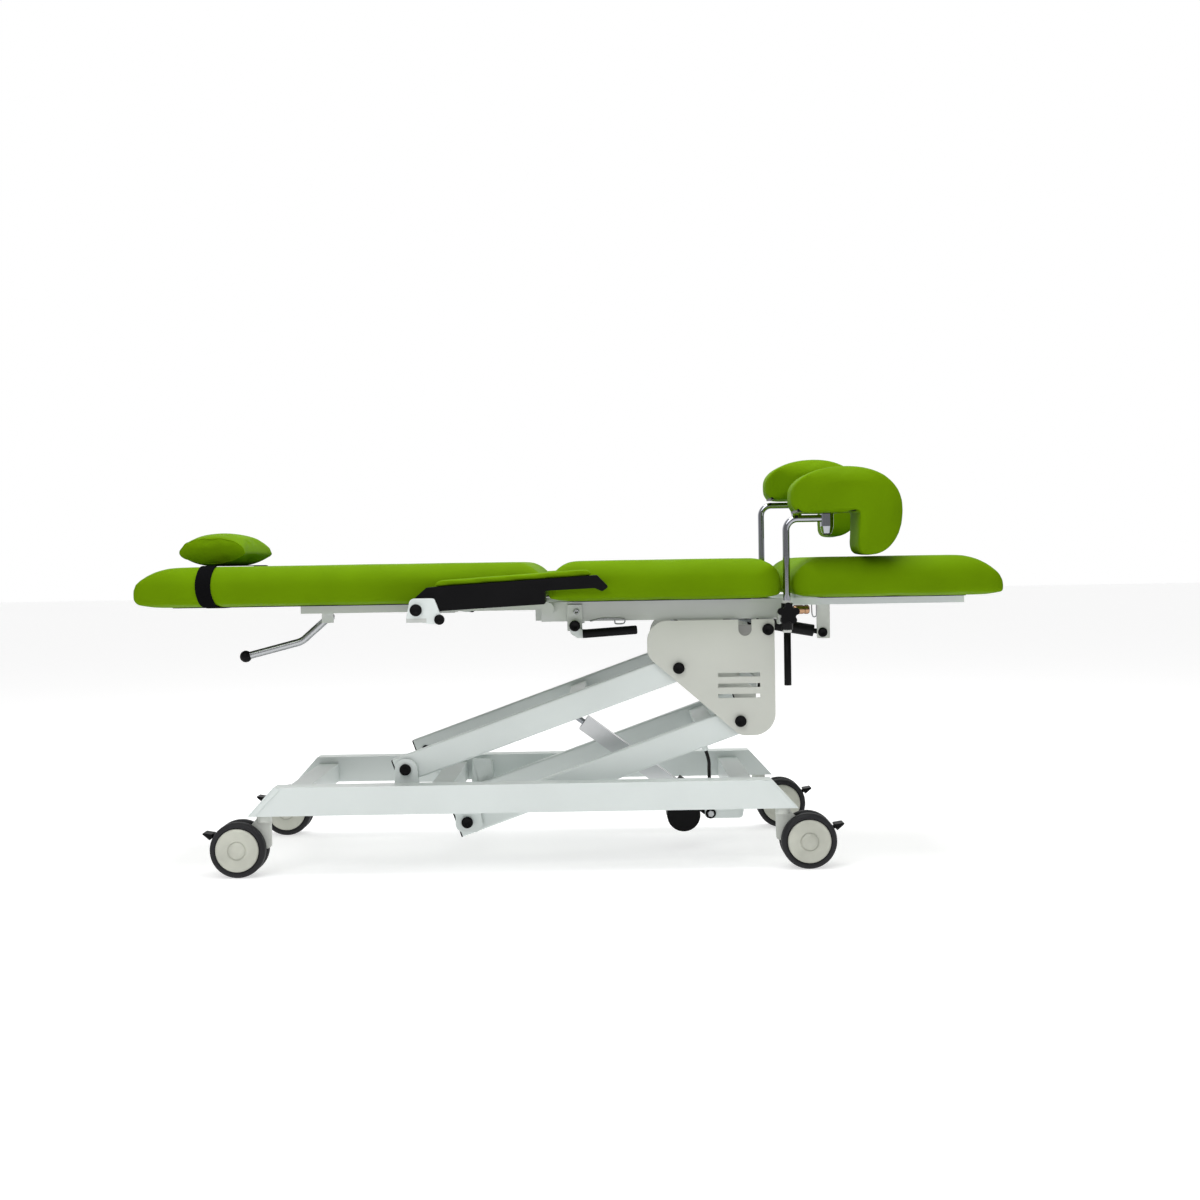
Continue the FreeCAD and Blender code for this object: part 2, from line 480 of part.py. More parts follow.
def actuator():
    """Rear eye, gear case, cross-mounted motor and aluminium profile along local X; rod from its front eye."""
    dx, dz = DRIVE_END[0] - S.drive_rx, DRIVE_END[1] - S.drive_rz
    angle = math.degrees(math.atan2(dz, dx))
    length = math.hypot(dx, dz)
    rear = Placement(Vector(S.drive_rx, 0, S.drive_rz), turn_y(angle))
    eye = across("drive_rear_eye", "drive_eye", "drive_width", 0, 0)
    neck = box("drive_neck", "gear_from + 4", "drive_width", "2 * drive_eye",
               (0, -S.drive_width / 2, -S.drive_eye))
    gear = box("drive_gear_case", "gear_long", "gear_wide", "gear_high",
               (S.gear_from, -S.gear_wide / 2, -S.gear_high / 2))
    motor = across("drive_motor", "motor_radius", "motor_long", S.motor_along, S.motor_below)
    hole = across("drive_rear_hole", "drive_pin + run_fit", "drill", 0, 0)
    node("actuator_motor", cut("actuator_motor", fuse("motor_body", [eye, neck, gear, motor]), [hole]), rear)
    outer = box("profile_outer", "profile_to - profile_from", "profile", "profile",
                (S.profile_from, -S.profile / 2, -S.profile / 2))
    bore = cylinder("profile_bore", "bore_radius", "profile_to", (S.profile_from + S.bore_from, 0, 0), "x")
    node("actuator_tube", cut("actuator_tube", outer, [bore]), rear)
    front = Placement(Vector(DRIVE_END[0], 0, DRIVE_END[1]), turn_y(angle + 180))
    rod = cylinder("drive_rod", "rod_radius", "rod_long", (0, 0, 0), "x")
    rod_eye = across("drive_front_eye", "drive_eye + 1", "drive_width", 0, 0)
    rod_hole = across("drive_front_hole", "drive_pin + run_fit", "drill", 0, 0)
    node("actuator_rod", cut("actuator_rod", fuse("rod_body", [rod, rod_eye]), [rod_hole]), front)
    print("actuator at rest", round(length, 1), "mm at", round(angle, 2), "degrees")


def carriage():
    """Two side plates, the far one a little narrower, with their pins and the bars between them."""
    plates, pins = [], []
    for side, sign in SIDES.items():
        left = S.plate_left + (S.plate_inset if side == "far" else 0)
        points = [(left, S.plate_top, 46), (left, S.plate_knee_z, 36), (S.plate_knee_x, S.plate_low, 34),
                  (S.plate_right, S.plate_low, 50), (S.plate_right, S.plate_top, 6)]
        y_high = S.plate_out if sign > 0 else -PLATE_IN
        blank = outline_pad(f"side_blank_{side}", points, "plate_thick", offset=(0, y_high, 0))
        tools = [box(f"notch_{side}", "2 * notch_radius", "4 * plate_thick", "plate_top - notch_z + 1",
                     (S.notch_x - S.notch_radius, y_high - 2.5 * S.plate_thick, S.notch_z)),
                 across(f"notch_round_{side}", "notch_radius", "4 * plate_thick", S.notch_x, S.notch_z,
                        sign * S.plate_out)]
        for i in range(3):
            tools.append(box(f"slot_{side}_{i}", "slot_long", "4 * plate_thick", "slot_high",
                             (S.slot_x, y_high - 2.5 * S.plate_thick, S.slot_z - i * S.slot_pitch)))
        for key, (x, z) in (("upper", UPPER_END), ("lower", LOWER_END), ("tilt", (S.tilt_x, S.tilt_z))):
            tools.append(across(f"plate_hole_{key}_{side}", "pin_radius + run_fit", "drill", x, z,
                                sign * S.plate_out))
            pins.append(pivot_pin(f"carriage_pin_{key}_{side}", x, z, sign, S.plate_out))
        plates.append(cut(f"side_plate_{side}", blank, tools))
    node("side_plates", group("side_plates", plates))
    node("carriage_pins", group("carriage_pins", pins))
    bars = []
    for key, x, z in (("a", S.bar_ax, S.bar_az), ("b", S.bar_bx, S.bar_bz)):
        half = S.bar_size / 2
        outer = box(f"bar_{key}_outer", "bar_size", "2 * (plate_out - plate_thick)", "bar_size",
                    (x - half, -PLATE_IN, z - half))
        inner = box(f"bar_{key}_inner", "bar_size - 2 * tube_wall", "2 * plate_out", "bar_size - 2 * tube_wall",
                    (x - half + S.tube_wall, -S.plate_out, z - half + S.tube_wall))
        bars.append(cut(f"bar_{key}", outer, [inner]))
    pin = GAS["tilt"]["body"]
    lug = gas_lug("tilt_body", pin, pin[0] - S.gas_eye, 2 * S.gas_eye, S.bar_bz + S.bar_size / 2,
                  pin[1] + S.cap_radius)
    node("carriage_cross_bars", group("carriage_cross_bars", bars + [lug]))


# Gas springs: (x, z, y) of the pin at the cylinder and at the rod, with the lengths of both from their pins
GAS = {
    "back": {"body": (190.0, 572.0, 0.0), "rod": (-44.0, 562.0, 0.0), "cylinder": 150.0, "stem": 132.0},
    "leg": {"body": (586.0, 522.0, -120.0), "rod": (260.0, 580.0, -120.0), "cylinder": 155.0, "stem": 188.0},
    "tilt": {"body": (425.0, 440.0, 60.0), "rod": (230.0, 560.0, 60.0), "cylinder": 140.0, "stem": 128.0},
}


def gas_lug(name, pin, left, length, low, high):
    """Two lug plates that hold a gas spring's pin between them."""
    x, z, y = pin
    parts = []
    for side, sign in SIDES.items():
        y_low = y + (S.gas_gap / 2 if sign > 0 else -S.gas_gap / 2 - S.gas_plate)
        parts.append(box(f"{name}_lug_{side}", str(length), "gas_plate", str(high - low), (left, y_low, low)))
    parts.append(across(f"{name}_lug_pin", "gas_pin", "gas_gap + 2 * gas_plate", x, z, y))
    return fuse(f"{name}_lugs", parts)


def gas_spring(key):
    """A black cylinder from one pin and a bright rod from the other, each along its own local X."""
    spring = GAS[key]
    (bx, bz, y), (rx, rz, _) = spring["body"], spring["rod"]
    angle = math.degrees(math.atan2(rz - bz, rx - bx))
    body_eye = across(f"{key}_eye", "gas_eye", "gas_wide", 0, 0)
    tube = cylinder(f"{key}_tube", "gas_radius", f"{spring['cylinder']} - gas_from", (S.gas_from, 0, 0), "x")
    neck = cylinder(f"{key}_neck", "gas_neck", "gas_from + 1", (0, 0, 0), "x")
    bore = cylinder(f"{key}_bore", "gas_bore", str(spring["cylinder"]), (S.gas_bottom, 0, 0), "x")
    hole = across(f"{key}_hole", "gas_pin + run_fit", "drill", 0, 0)
    body = cut(f"{key}_cylinder", fuse(f"{key}_body", [body_eye, tube, neck]), [bore, hole])
    node(f"{key}_cylinder", body, Placement(Vector(bx, y, bz), turn_y(angle)))
    rod_eye = across(f"{key}_rod_eye", "gas_eye - 2", "gas_wide", 0, 0)
    stem = cylinder(f"{key}_stem", "gas_rod", str(spring["stem"]), (0, 0, 0), "x")
    rod_hole = across(f"{key}_rod_hole", "gas_pin + run_fit", "drill", 0, 0)
    rod = cut(f"{key}_gas_rod", fuse(f"{key}_rod_body", [rod_eye, stem]), [rod_hole])
    node(f"{key}_gas_rod", rod, Placement(Vector(rx, y, rz), turn_y(angle + 180)))


def cushion(name, side_points, plan_points):
    """A soft solid: side outline, bull-nosed section and rounded plan, in common."""
    side = outline_pad(name + "_side", side_points, "2 * pad_half", offset=(0, S.pad_half, 0))
    half, r = S.pad_half, S.pad_round
    low, high = S.frame_top, S.pad_top
    section_points = [(-half, low, r), (half, low, r), (half, high, r), (-half, high, r)]
    section = outline_pad(name + "_section", section_points, "2 * pad_reach", "YZ_Plane", (-S.pad_reach, 0, 0))
    plan = outline_pad(name + "_plan", plan_points, "pad_top - frame_top", "XY_Plane", (0, 0, low))
    return common(name, [side, section, plan])


def plan_of(left, right, left_round, right_round):
    half = S.pad_half
    return [(left, -half, left_round), (right, -half, right_round), (right, half, right_round),
            (left, half, left_round)]


def wedge_x(z, hand):
    """Where a section's end meets the clear wedge above the backrest hinge."""
    return S.back_hx + hand * ((z - S.back_hz) * math.tan(math.radians(S.wedge)) + S.wedge_gap)


def seat_side(side, sign):
    """A hollow rail with its tilt lug, lever bracket and clamp arm, drilled for the pins."""
    y_low = SEAT_RAIL_IN if sign > 0 else -S.seat_rail_out
    outer = box(f"seat_rail_{side}", "seat_right - seat_left", "seat_rail_wide", "frame_top - seat_low",
                (S.seat_left, y_low, S.seat_low))
    inner = box(f"seat_hollow_{side}", "seat_right - seat_left", "seat_rail_wide - 2 * tube_wall",
                "frame_top - seat_low - 2 * tube_wall",
                (S.seat_left, y_low + S.tube_wall, S.seat_low + S.tube_wall))
    lug_y = sign * (SEAT_RAIL_IN + S.tilt_lug_thick / 2) - S.tilt_lug_thick / 2
    bracket_y = S.seat_rail_out if sign > 0 else -S.seat_rail_out - S.lever_plate
    arm_y = S.seat_rail_out if sign > 0 else -S.post_y + S.clamp_radius - S.clamp_sink
    parts = [
        cut(f"seat_wall_{side}", outer, [inner]),
        box(f"tilt_lug_{side}", "lug_long", "tilt_lug_thick", "seat_low - tilt_z + lug_drop",
            (S.tilt_x - S.lug_long / 2, lug_y, S.tilt_z - S.lug_drop)),
        box(f"lever_bracket_{side}", "lug_long", "lever_plate", "bracket_high",
            (S.lever_x - S.lug_long / 2, bracket_y, S.bracket_low)),
        box(f"clamp_arm_{side}", "clamp_arm_long", "post_y - clamp_radius - seat_rail_out + clamp_sink",
            "clamp_arm_high", (S.clamp_arm_x, arm_y, S.clamp_arm_low))]
    holes = [
        across(f"tilt_hole_{side}", "pin_radius + run_fit", "drill", S.tilt_x, S.tilt_z, sign * SEAT_RAIL_IN),
        across(f"lever_hole_{side}", "lever_shaft + run_fit", "drill", S.lever_x, S.lever_z,
               sign * S.seat_rail_out),
        cylinder(f"post_clear_{side}", "clamp_radius", "drill", (S.post_x, sign * S.post_y, S.clamp_low))]
    rail_mid = SEAT_RAIL_IN + S.seat_rail_wide / 2
    for key, x, z in (("back", S.back_hx, S.back_hz), ("leg", S.leg_hx, S.leg_hz)):
        holes.append(across(f"{key}_seat_hole_{side}", "hinge_pin + run_fit", "drill", x, z, sign * rail_mid))
    return cut(f"seat_side_{side}", fuse(f"seat_side_body_{side}", parts), holes)


def seat_cross(name, x, length, low, lugs):
    """A flat cross member between the seat rails and, below it, the lugs of the gas springs that it carries."""
    underside = getattr(S, low)
    parts = [box(name, length, "2 * (seat_rail_out - seat_rail_wide)", f"frame_top - {low}",
                 (x, -SEAT_RAIL_IN, underside))]
    for key, end in lugs:
        pin = GAS[key][end]
        parts.append(gas_lug(f"seat_{key}", pin, pin[0] - S.gas_eye, 2 * S.gas_eye, pin[1] - S.gas_eye,
                             underside))
    return parts


def seat():
    members = [seat_side(side, sign) for side, sign in SIDES.items()]
    members += seat_cross("seat_cross_head", S.seat_head_x, "seat_cross_long", "seat_cross_low", [])
    members += seat_cross("seat_cross_back", S.seat_back_x, "seat_cross_long", "seat_cross_low",
                          [("back", "body")])
    members += seat_cross("seat_cross_tie", S.seat_tie_x, "seat_tie_long", "seat_tie_low",
                          [("leg", "rod"), ("tilt", "rod")])
    members += seat_cross("seat_cross_foot", S.seat_foot_x, "seat_cross_long", "seat_cross_low", [])
    node("seat_frame", group("seat_frame", members))
    low, high, right = S.frame_top, S.pad_top, S.seat_pad_right
    side_points = [(wedge_x(low, 1), low, S.tip_round), (right, low, S.under_round), (right, high, S.end_round),
                   (wedge_x(high, 1), high, S.wedge_round)]
    node("seat_pad", cushion("seat_pad", side_points,
                             plan_of(wedge_x(low, 1) - S.seat_cross_long, right, S.under_round, S.corner)))
    clamps = []
    for side, sign in SIDES.items():
        y = sign * S.post_y
        sleeve = cylinder(f"clamp_{side}", "clamp_radius", "clamp_high", (S.post_x, y, S.clamp_low))
        boss = across(f"clamp_boss_{side}", "boss_radius", "boss_long", S.post_x, S.knob_z,
                      sign * (S.post_y + S.clamp_radius + S.boss_long / 4))
        bore = cylinder(f"clamp_bore_{side}", "post_radius + collar_wall + run_fit", "long_drill",
                        (S.post_x, y, S.clamp_low - S.drill))
        clamps.append(cut(f"clamp_block_{side}", fuse(f"clamp_body_{side}", [sleeve, boss]), [bore]))
    node("clamp_blocks", group("clamp_blocks", clamps))


def seat_lever():
    """A shaft across the seat frame with a bent arm and a grip on the near side."""
    shaft = across("lever_shaft", "lever_shaft", "2 * (seat_rail_out + 2 * lever_plate + 3 * lever_play)",
                   S.lever_x, S.lever_z)
    eye, low, high, toe = S.lever_eye, S.lever_toe_low, S.lever_toe_high, S.lever_toe_x
    points = [(S.lever_x - eye, S.lever_z + eye, eye - 2), (S.lever_x - eye, low + eye, eye),
              (S.lever_x + eye / 2, low, eye / 2), (toe, low, 4), (toe, high, 4), (S.lever_x + eye, high, 4),
              (S.lever_x + eye, S.lever_z + eye, eye - 2)]
    y_in = S.seat_rail_out + S.lever_plate + S.lever_play
    arm = outline_pad("lever_arm", points, "lever_plate", offset=(0, -y_in, 0))
    node("seat_lever_arm", fuse("seat_lever_arm", [shaft, arm]))
    bar = cylinder("lever_grip_bar", "grip_radius", "grip_long", (0, 0, 0), "x")
    grip = rounded_ends("seat_lever_grip", bar, S.grip_round, S.grip_round)
    place = Vector(S.grip_x, -y_in - S.lever_plate - S.grip_radius, S.grip_z)
    node("seat_lever_grip", grip, Placement(place, turn_y(S.grip_angle)))


def back_side(side, sign):
    """A side bar with its hinge lug and pin and the carrier of the armrest bracket."""
    y_low = S.back_bar_in if sign > 0 else -S.back_bar_in - S.back_bar_wide
    carrier_y = S.back_bar_in if sign > 0 else -S.arm_in - S.rest_wide - S.rest_gap - S.bracket_thick
    pin_mid = S.back_bar_in + S.back_bar_wide - S.back_pin_long / 2 - 1
    parts = [
        box(f"back_bar_{side}", "back_hx - back_bar_left", "back_bar_wide", "frame_top - bar_low",
            (S.back_bar_left, y_low, S.bar_low)),
        cylinder(f"back_lug_{side}", "hinge_lug", "back_bar_wide", (S.back_hx, y_low, S.back_hz), "y"),
        across(f"back_pin_{side}", "hinge_pin", "back_pin_long", S.back_hx, S.back_hz, sign * pin_mid),
        box(f"rest_carrier_{side}", "carrier_long",
            "arm_in + rest_wide + rest_gap + bracket_thick - back_bar_in", "carrier_thick",
            (S.carrier_x, carrier_y, S.carrier_low)),
        box(f"rest_post_{side}", "carrier_long", "back_bar_wide", "bar_low - carrier_low",
            (S.carrier_x, y_low, S.carrier_low))]
    if side == "near":
        parts.append(box("back_lever_lug", "lever_lug_long", "lever_lug_thick", "lever_lug_high",
                         (S.back_lever_x - S.lever_lug_long / 2, -S.back_bar_in - S.lever_lug_thick,
                          S.lever_lug_low)))
        pin_y = S.lever_pin_long / 2 - S.back_bar_in - S.lever_lug_thick
        parts.append(across("back_lever_pin", "back_lever_pin", "lever_pin_long", S.back_lever_x,
                            S.back_lever_z, pin_y))
    return fuse(f"back_side_{side}", parts)


def back_cross(name, x):
    return box(name, "back_cross_long", "2 * back_bar_in", "frame_top - bar_low",
               (x, -S.back_bar_in, S.bar_low))


def backrest():
    pin = GAS["back"]["rod"]
    lug = gas_lug("back_frame", pin, S.back_lug_left, S.back_lug_long, pin[1] - S.gas_eye + 3, S.bar_low)
    node("back_frame", group("back_frame", [back_side(side, sign) for side, sign in SIDES.items()] + [
        back_cross("back_cross_head", S.back_bar_left), back_cross("back_cross_mid", S.back_mid_x),
        back_cross("back_cross_hinge", S.back_hinge_x), lug]))
    low, high, left = S.frame_top, S.pad_top, S.back_left
    side_points = [(left, low, S.head_round), (wedge_x(low, -1), low, S.tip_round),
                   (wedge_x(high, -1), high, S.wedge_round), (left, high, S.end_round)]
    node("back_pad", cushion("back_pad", side_points,
                             plan_of(left, wedge_x(low, -1) + S.seat_cross_long, S.plan_round, S.under_round)))


def back_lever():
    """A bent tube lever below the backrest, with a rounded knob on its end."""
    y = -S.back_lever_y
    eye = across("back_lever_eye", "back_lever_eye", "back_lever_wide", S.back_lever_x, S.back_lever_z, y)
    points = [(S.back_lever_x, y, S.back_lever_z), (S.lever_bend_x, y, S.lever_bend_z),
              (S.lever_end_x, y, S.lever_end_z)]
    tube = pipe("back_lever_tube", points, "back_lever_radius", [S.lever_bend])
    hole = across("back_lever_hole", "back_lever_pin + run_fit", "drill", S.back_lever_x, S.back_lever_z, y)
    node("back_lever", cut("back_lever", fuse("back_lever_body", [eye, tube]), [hole]))
    angle = math.degrees(math.atan2(S.lever_end_z - S.lever_bend_z, S.lever_end_x - S.lever_bend_x))
    bar = cylinder("back_lever_knob_bar", "knob_end", "knob_end_long", (0, 0, 0), "x")
    knob = rounded_ends("back_lever_knob", bar, S.knob_end_chamfer, S.knob_end_round)
    node("back_lever_knob", knob, Placement(Vector(*points[-1]), turn_y(angle)))


def pillow():
    left, right, high = S.pillow_left, S.pillow_right, S.pillow_high
    low = S.pad_top + S.pillow_gap
    middle, tip = (left + right) / 2, low + S.pillow_tip
    upper = Part.Arc(Vector(left, tip, 0), Vector(middle, high, 0), Vector(right, tip, 0))
    lower = Part.Arc(Vector(right, tip, 0), Vector(middle, low, 0), Vector(left, tip, 0))
    node("headrest_pillow", pad("headrest_pillow", [upper, lower], "2 * pillow_half",
                                offset=(0, S.pillow_half, 0)))


# Side outlines of the armrest's shell and pad, with the corner radii
REST_SHELL = [(-343, 583, 14), (-313, 583, 12), (-273, 594, 4), (-50, 605, 4), (-50, 634, 3), (58, 638, 6),
              (74, 631, 4), (88, 640, 4), (63, 666, 5), (-306, 645, 4), (-343, 613, 10)]
REST_PAD_LOW = [(-290, 646.2), (52, 665.6)]
REST_BRACKET = [(-350, 579, 0), (-273, 579, 4), (-289, 622, 8), (-341, 622, 12)]


def armrest(side, sign):
    """A shell that swings up about its rear pin, with a thin pad along its top."""
    y_high = S.arm_in + S.rest_wide if sign > 0 else -S.arm_in
    shell = outline_pad(f"armrest_blank_{side}", REST_SHELL, "rest_wide", offset=(0, y_high, 0))
    hole = across(f"armrest_hole_{side}", "hinge_pin + run_fit", "long_drill", S.rest_px, S.rest_pz,
                  sign * (S.arm_in + S.rest_wide / 2))
    node(f"armrest_shell_{side}", cut(f"armrest_shell_{side}", shell, [hole]))
    (left, left_z), (right, right_z) = REST_PAD_LOW
    top_round, thick = S.rest_pad / 2, S.rest_pad
    outline = [(left, left_z, 0), (right, right_z, 0), (right - top_round, right_z + thick, top_round),
               (left + top_round, left_z + thick, top_round)]
    node(f"armrest_pad_{side}", outline_pad(f"armrest_pad_{side}", outline, "rest_wide - 2 * rest_pad_inset",
                                            offset=(0, y_high - S.rest_pad_inset, 0)))


def armrest_brackets():
    """An upright plate outside each armrest, with the pin that the armrest turns on and its cap."""
    parts = []
    inner = S.arm_in + S.rest_wide + S.rest_gap
    face = inner + S.bracket_thick
    pin_long = S.rest_wide + S.bracket_thick + S.rest_pin_inside
    for side, sign in SIDES.items():
        y_high = face if sign > 0 else -inner
        plate = outline_pad(f"rest_bracket_{side}", REST_BRACKET, "bracket_thick", offset=(0, y_high, 0))
        pin = across(f"rest_pin_{side}", "hinge_pin", str(pin_long), S.rest_px, S.rest_pz,
                     sign * (face - pin_long / 2))
        cap = across(f"rest_cap_{side}", "cap_radius", "cap_high", S.rest_px, S.rest_pz,
                     sign * (face + S.cap_high / 2))
        parts.append(fuse(f"rest_bracket_set_{side}", [plate, pin, cap]))
    node("armrest_brackets", group("armrest_brackets", parts))


def leg_side(side, sign):
    """A side bar of the legrest with its hinge lug and pin."""
    y_low = LEG_BAR_IN if sign > 0 else -S.leg_bar_out
    return fuse(f"leg_side_{side}", [
        box(f"leg_bar_{side}", "leg_bar_right - leg_hx", "leg_bar_wide", "frame_top - bar_low",
            (S.leg_hx, y_low, S.bar_low)),
        cylinder(f"leg_lug_{side}", "hinge_lug", "leg_bar_wide", (S.leg_hx, y_low, S.leg_hz), "y"),
        across(f"leg_pin_{side}", "hinge_pin", "leg_pin_long", S.leg_hx, S.leg_hz,
               sign * (LEG_BAR_IN + S.leg_pin_mid))])


def leg_cross(name, x):
    return box(name, "back_cross_long", "2 * (leg_bar_out - leg_bar_wide)", "frame_top - bar_low",
               (x, -LEG_BAR_IN, S.bar_low))


def legrest():
    pin = GAS["leg"]["body"]
    lug = gas_lug("leg_frame", pin, pin[0] - S.gas_eye, 2 * S.gas_eye, pin[1] - S.gas_eye, S.bar_low)
    node("leg_frame", group("leg_frame", [leg_side(side, sign) for side, sign in SIDES.items()] + [
        leg_cross("leg_cross_hinge", S.leg_hinge_x), leg_cross("leg_cross_foot", S.leg_foot_x), lug]))
    low, high, left, right = S.frame_top, S.pad_top, S.leg_left, S.leg_right
    side_points = [(left, low, S.under_round), (right, low, S.nose_under),
                   (right, low + S.nose_up, S.nose_round),
                   (right - S.brow_in, high - S.brow_down, S.brow_round),
                   (right - S.slope_long, high, S.slope_round), (left, high, S.end_round)]
    node("leg_pad", cushion("leg_pad", side_points, plan_of(left, right, S.corner, S.plan_round)))


def support_post(side, y, up):
    """A collar that turns in the clamp and a bent post that slides in it, with a bush at its upper end."""
    sleeve = cylinder(f"collar_{side}", "post_radius + collar_wall", "clamp_high + 2 * collar_over",
                      (S.post_x, y, S.clamp_low - S.collar_over))
    bore = cylinder(f"collar_bore_{side}", "post_radius + run_fit", "long_drill",
                    (S.post_x, y, S.clamp_low - S.drill))
    node(f"support_collar_{side}", cut(f"support_collar_{side}", sleeve, [bore]))
    points = [(S.post_x, y, S.post_low + up), (S.post_x, y, S.post_high + up), (S.head_x, y, S.post_high + up)]
    bar = pipe(f"post_bar_{side}", points, "post_radius", [S.post_bend])
    bush = cylinder(f"post_bush_{side}", "bush_radius", "bush_high - bush_low - bush_taper",
                    (S.head_x, y, S.bush_low + S.bush_taper + up))
    tip = doc.addObject("Part::Cone", f"post_bush_tip_{side}")
    bind(tip, Radius1="bush_tip", Radius2="bush_radius", Height="bush_taper")
    tip.Placement.Base = Vector(S.head_x, y, S.bush_low + up)
    hole = cylinder(f"post_hole_{side}", "post_radius + run_fit", "long_drill",
                    (S.head_x, y, S.bush_low + up - S.drill))
    body = fuse(f"post_body_{side}", [bar, bush, tip])
    node(f"support_post_{side}", cut(f"support_post_{side}", body, [hole]))


def support_head(side, sign, up):
    """A stud that swivels in the bush, the plate on it and a knee pad that hooks over at its outer end."""
    low, left, right, inner = S.support_low + up, S.support_left, S.support_right, S.support_inner
    stud = cylinder(f"head_stud_{side}", "post_radius", "support_low - bush_low + stud_below - 2",
                    (S.head_x, sign * S.post_y, S.bush_low + up - S.stud_below))
    plate = box(f"head_plate_{side}", "head_long", "head_wide", "head_thick",
                (S.head_left, sign * S.support_y - S.head_wide / 2, low - S.head_thick))
    node(f"support_head_{side}", fuse(f"support_head_{side}", [stud, plate]))
    high, drop, half = low + S.support_high, low - S.support_drop, S.support_half
    points = [(left, low, 18), (left, high, 76), (right, high, 96), (right, drop, 64), (inner, drop, 22),
              (inner, low, 6)]
    outline = outline_pad(f"support_side_{side}", points, "2 * support_half",
                          offset=(0, sign * S.support_y + half, 0))
    section_points = [(-half, drop, 24), (half, drop, 24), (half, high, 34), (-half, high, 34)]
    section = outline_pad(f"support_section_{side}", section_points, "pad_reach", "YZ_Plane",
                          (0, sign * S.support_y, 0))
    node(f"support_pad_{side}", common(f"support_pad_{side}", [outline, section]))


def star_knob(side, sign):
    """A five-lobed clamping knob on the outer face of a clamp."""
    middle = sign * (S.post_y + S.clamp_radius + S.knob_gap + S.knob_thick / 2)
    parts = [across(f"knob_hub_{side}", "knob_radius", "knob_thick", S.post_x, S.knob_z, middle)]
    for i in range(5):
        turn = math.radians(90 + 72 * i)
        x, z = S.post_x + S.knob_radius * math.cos(turn), S.knob_z + S.knob_radius * math.sin(turn)
        parts.append(across(f"knob_lobe_{side}_{i}", "knob_lobe", "knob_thick", x, z, middle))
    node(f"star_knob_{side}", fuse(f"star_knob_{side}", parts))


# Route of the supply cable from the control box's gland up to the gland under the near lower arm
CABLE_ROUTE = [(312, -206, 183), (312, -206, 200), (312, -201, 218), (313.1, -190, 236.2),
               (305.8, -190, 256.9)]


def cable_bends(points):
    """The largest arcs that the runs beside each point allow."""
    bends = []
    for before, here, after in zip(points, points[1:], points[2:]):
        first, second = Vector(*before) - Vector(*here), Vector(*after) - Vector(*here)
        turn = math.pi - first.getAngle(second)
        bends.append(0.45 * min(first.Length, second.Length) / math.tan(turn / 2))
    print("cable radii", [round(r, 1) for r in bends])
    return bends


def cable():
    node("lift_cable", pipe("lift_cable", CABLE_ROUTE, "cable_radius", cable_bends(CABLE_ROUTE)))


base()
for end in STEMS:
    for side in SIDES:
        caster(end, side)
lift()
actuator()
carriage()
seat()
seat_lever()
backrest()
back_lever()
pillow()
armrest_brackets()
legrest()
for key in GAS:
    gas_spring(key)
for side, sign in SIDES.items():
    armrest(side, sign)
    raised = S.support_raise if side == "far" else 0.0
    support_post(side, sign * S.post_y, raised)
    support_head(side, sign, raised)
    star_knob(side, sign)
cable()
doc.recompute()

bad = [obj.Name for obj in doc.Objects if "Invalid" in obj.State or "Error" in obj.State]
if bad:
    raise SystemExit("failed objects: " + ", ".join(bad))
for name, obj in nodes.items():
    if obj.Shape.isNull() or not obj.Shape.isValid():
        raise SystemExit("bad shape: " + name)
os.makedirs("parts", exist_ok=True)
for name, obj in nodes.items():
    obj.Shape.exportStep(f"parts/{name}.step")
print(len(nodes), "sub-parts written")
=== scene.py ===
"""Looks of the electric gynecological chair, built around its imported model.

Metres, in the model's frame: +X to the foot end, +Y to the far side, +Z up, the floor at Z = 0.
"""
import json
import math

import bmesh
import bpy
from mathutils import Matrix, Vector, noise


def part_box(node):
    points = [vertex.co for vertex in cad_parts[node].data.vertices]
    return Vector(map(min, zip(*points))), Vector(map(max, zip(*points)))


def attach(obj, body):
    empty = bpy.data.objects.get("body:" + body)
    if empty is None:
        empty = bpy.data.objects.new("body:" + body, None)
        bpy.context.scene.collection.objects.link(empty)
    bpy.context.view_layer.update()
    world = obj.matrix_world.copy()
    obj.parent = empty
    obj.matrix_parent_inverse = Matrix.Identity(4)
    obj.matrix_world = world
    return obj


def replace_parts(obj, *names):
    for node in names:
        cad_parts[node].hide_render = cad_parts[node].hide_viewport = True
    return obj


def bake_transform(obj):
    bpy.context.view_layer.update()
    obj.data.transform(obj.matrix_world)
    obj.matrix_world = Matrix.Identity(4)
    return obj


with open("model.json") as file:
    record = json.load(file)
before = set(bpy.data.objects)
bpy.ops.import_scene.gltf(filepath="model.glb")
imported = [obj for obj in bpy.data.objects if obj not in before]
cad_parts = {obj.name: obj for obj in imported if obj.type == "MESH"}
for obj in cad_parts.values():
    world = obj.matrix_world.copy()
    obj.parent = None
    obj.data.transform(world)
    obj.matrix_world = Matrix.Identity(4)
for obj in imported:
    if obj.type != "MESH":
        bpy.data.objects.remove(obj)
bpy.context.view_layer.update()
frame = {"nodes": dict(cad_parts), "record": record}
NODES = frame["nodes"]
PIVOTS = {j["name"]: Vector(j["pos_m"]) for j in frame["record"]["behaviour"]["joints"] if "pos_m" in j}
SIDES = {"near": -1, "far": 1}
CASTERS = [f"{end}_{side}" for end in ("head", "foot") for side in SIDES]
scene = bpy.context.scene


# Materials

# Most of a noise texture's values lie between these two
NOISE_LOW, NOISE_HIGH = 0.3, 0.7
BUMP_STRENGTH = 0.7


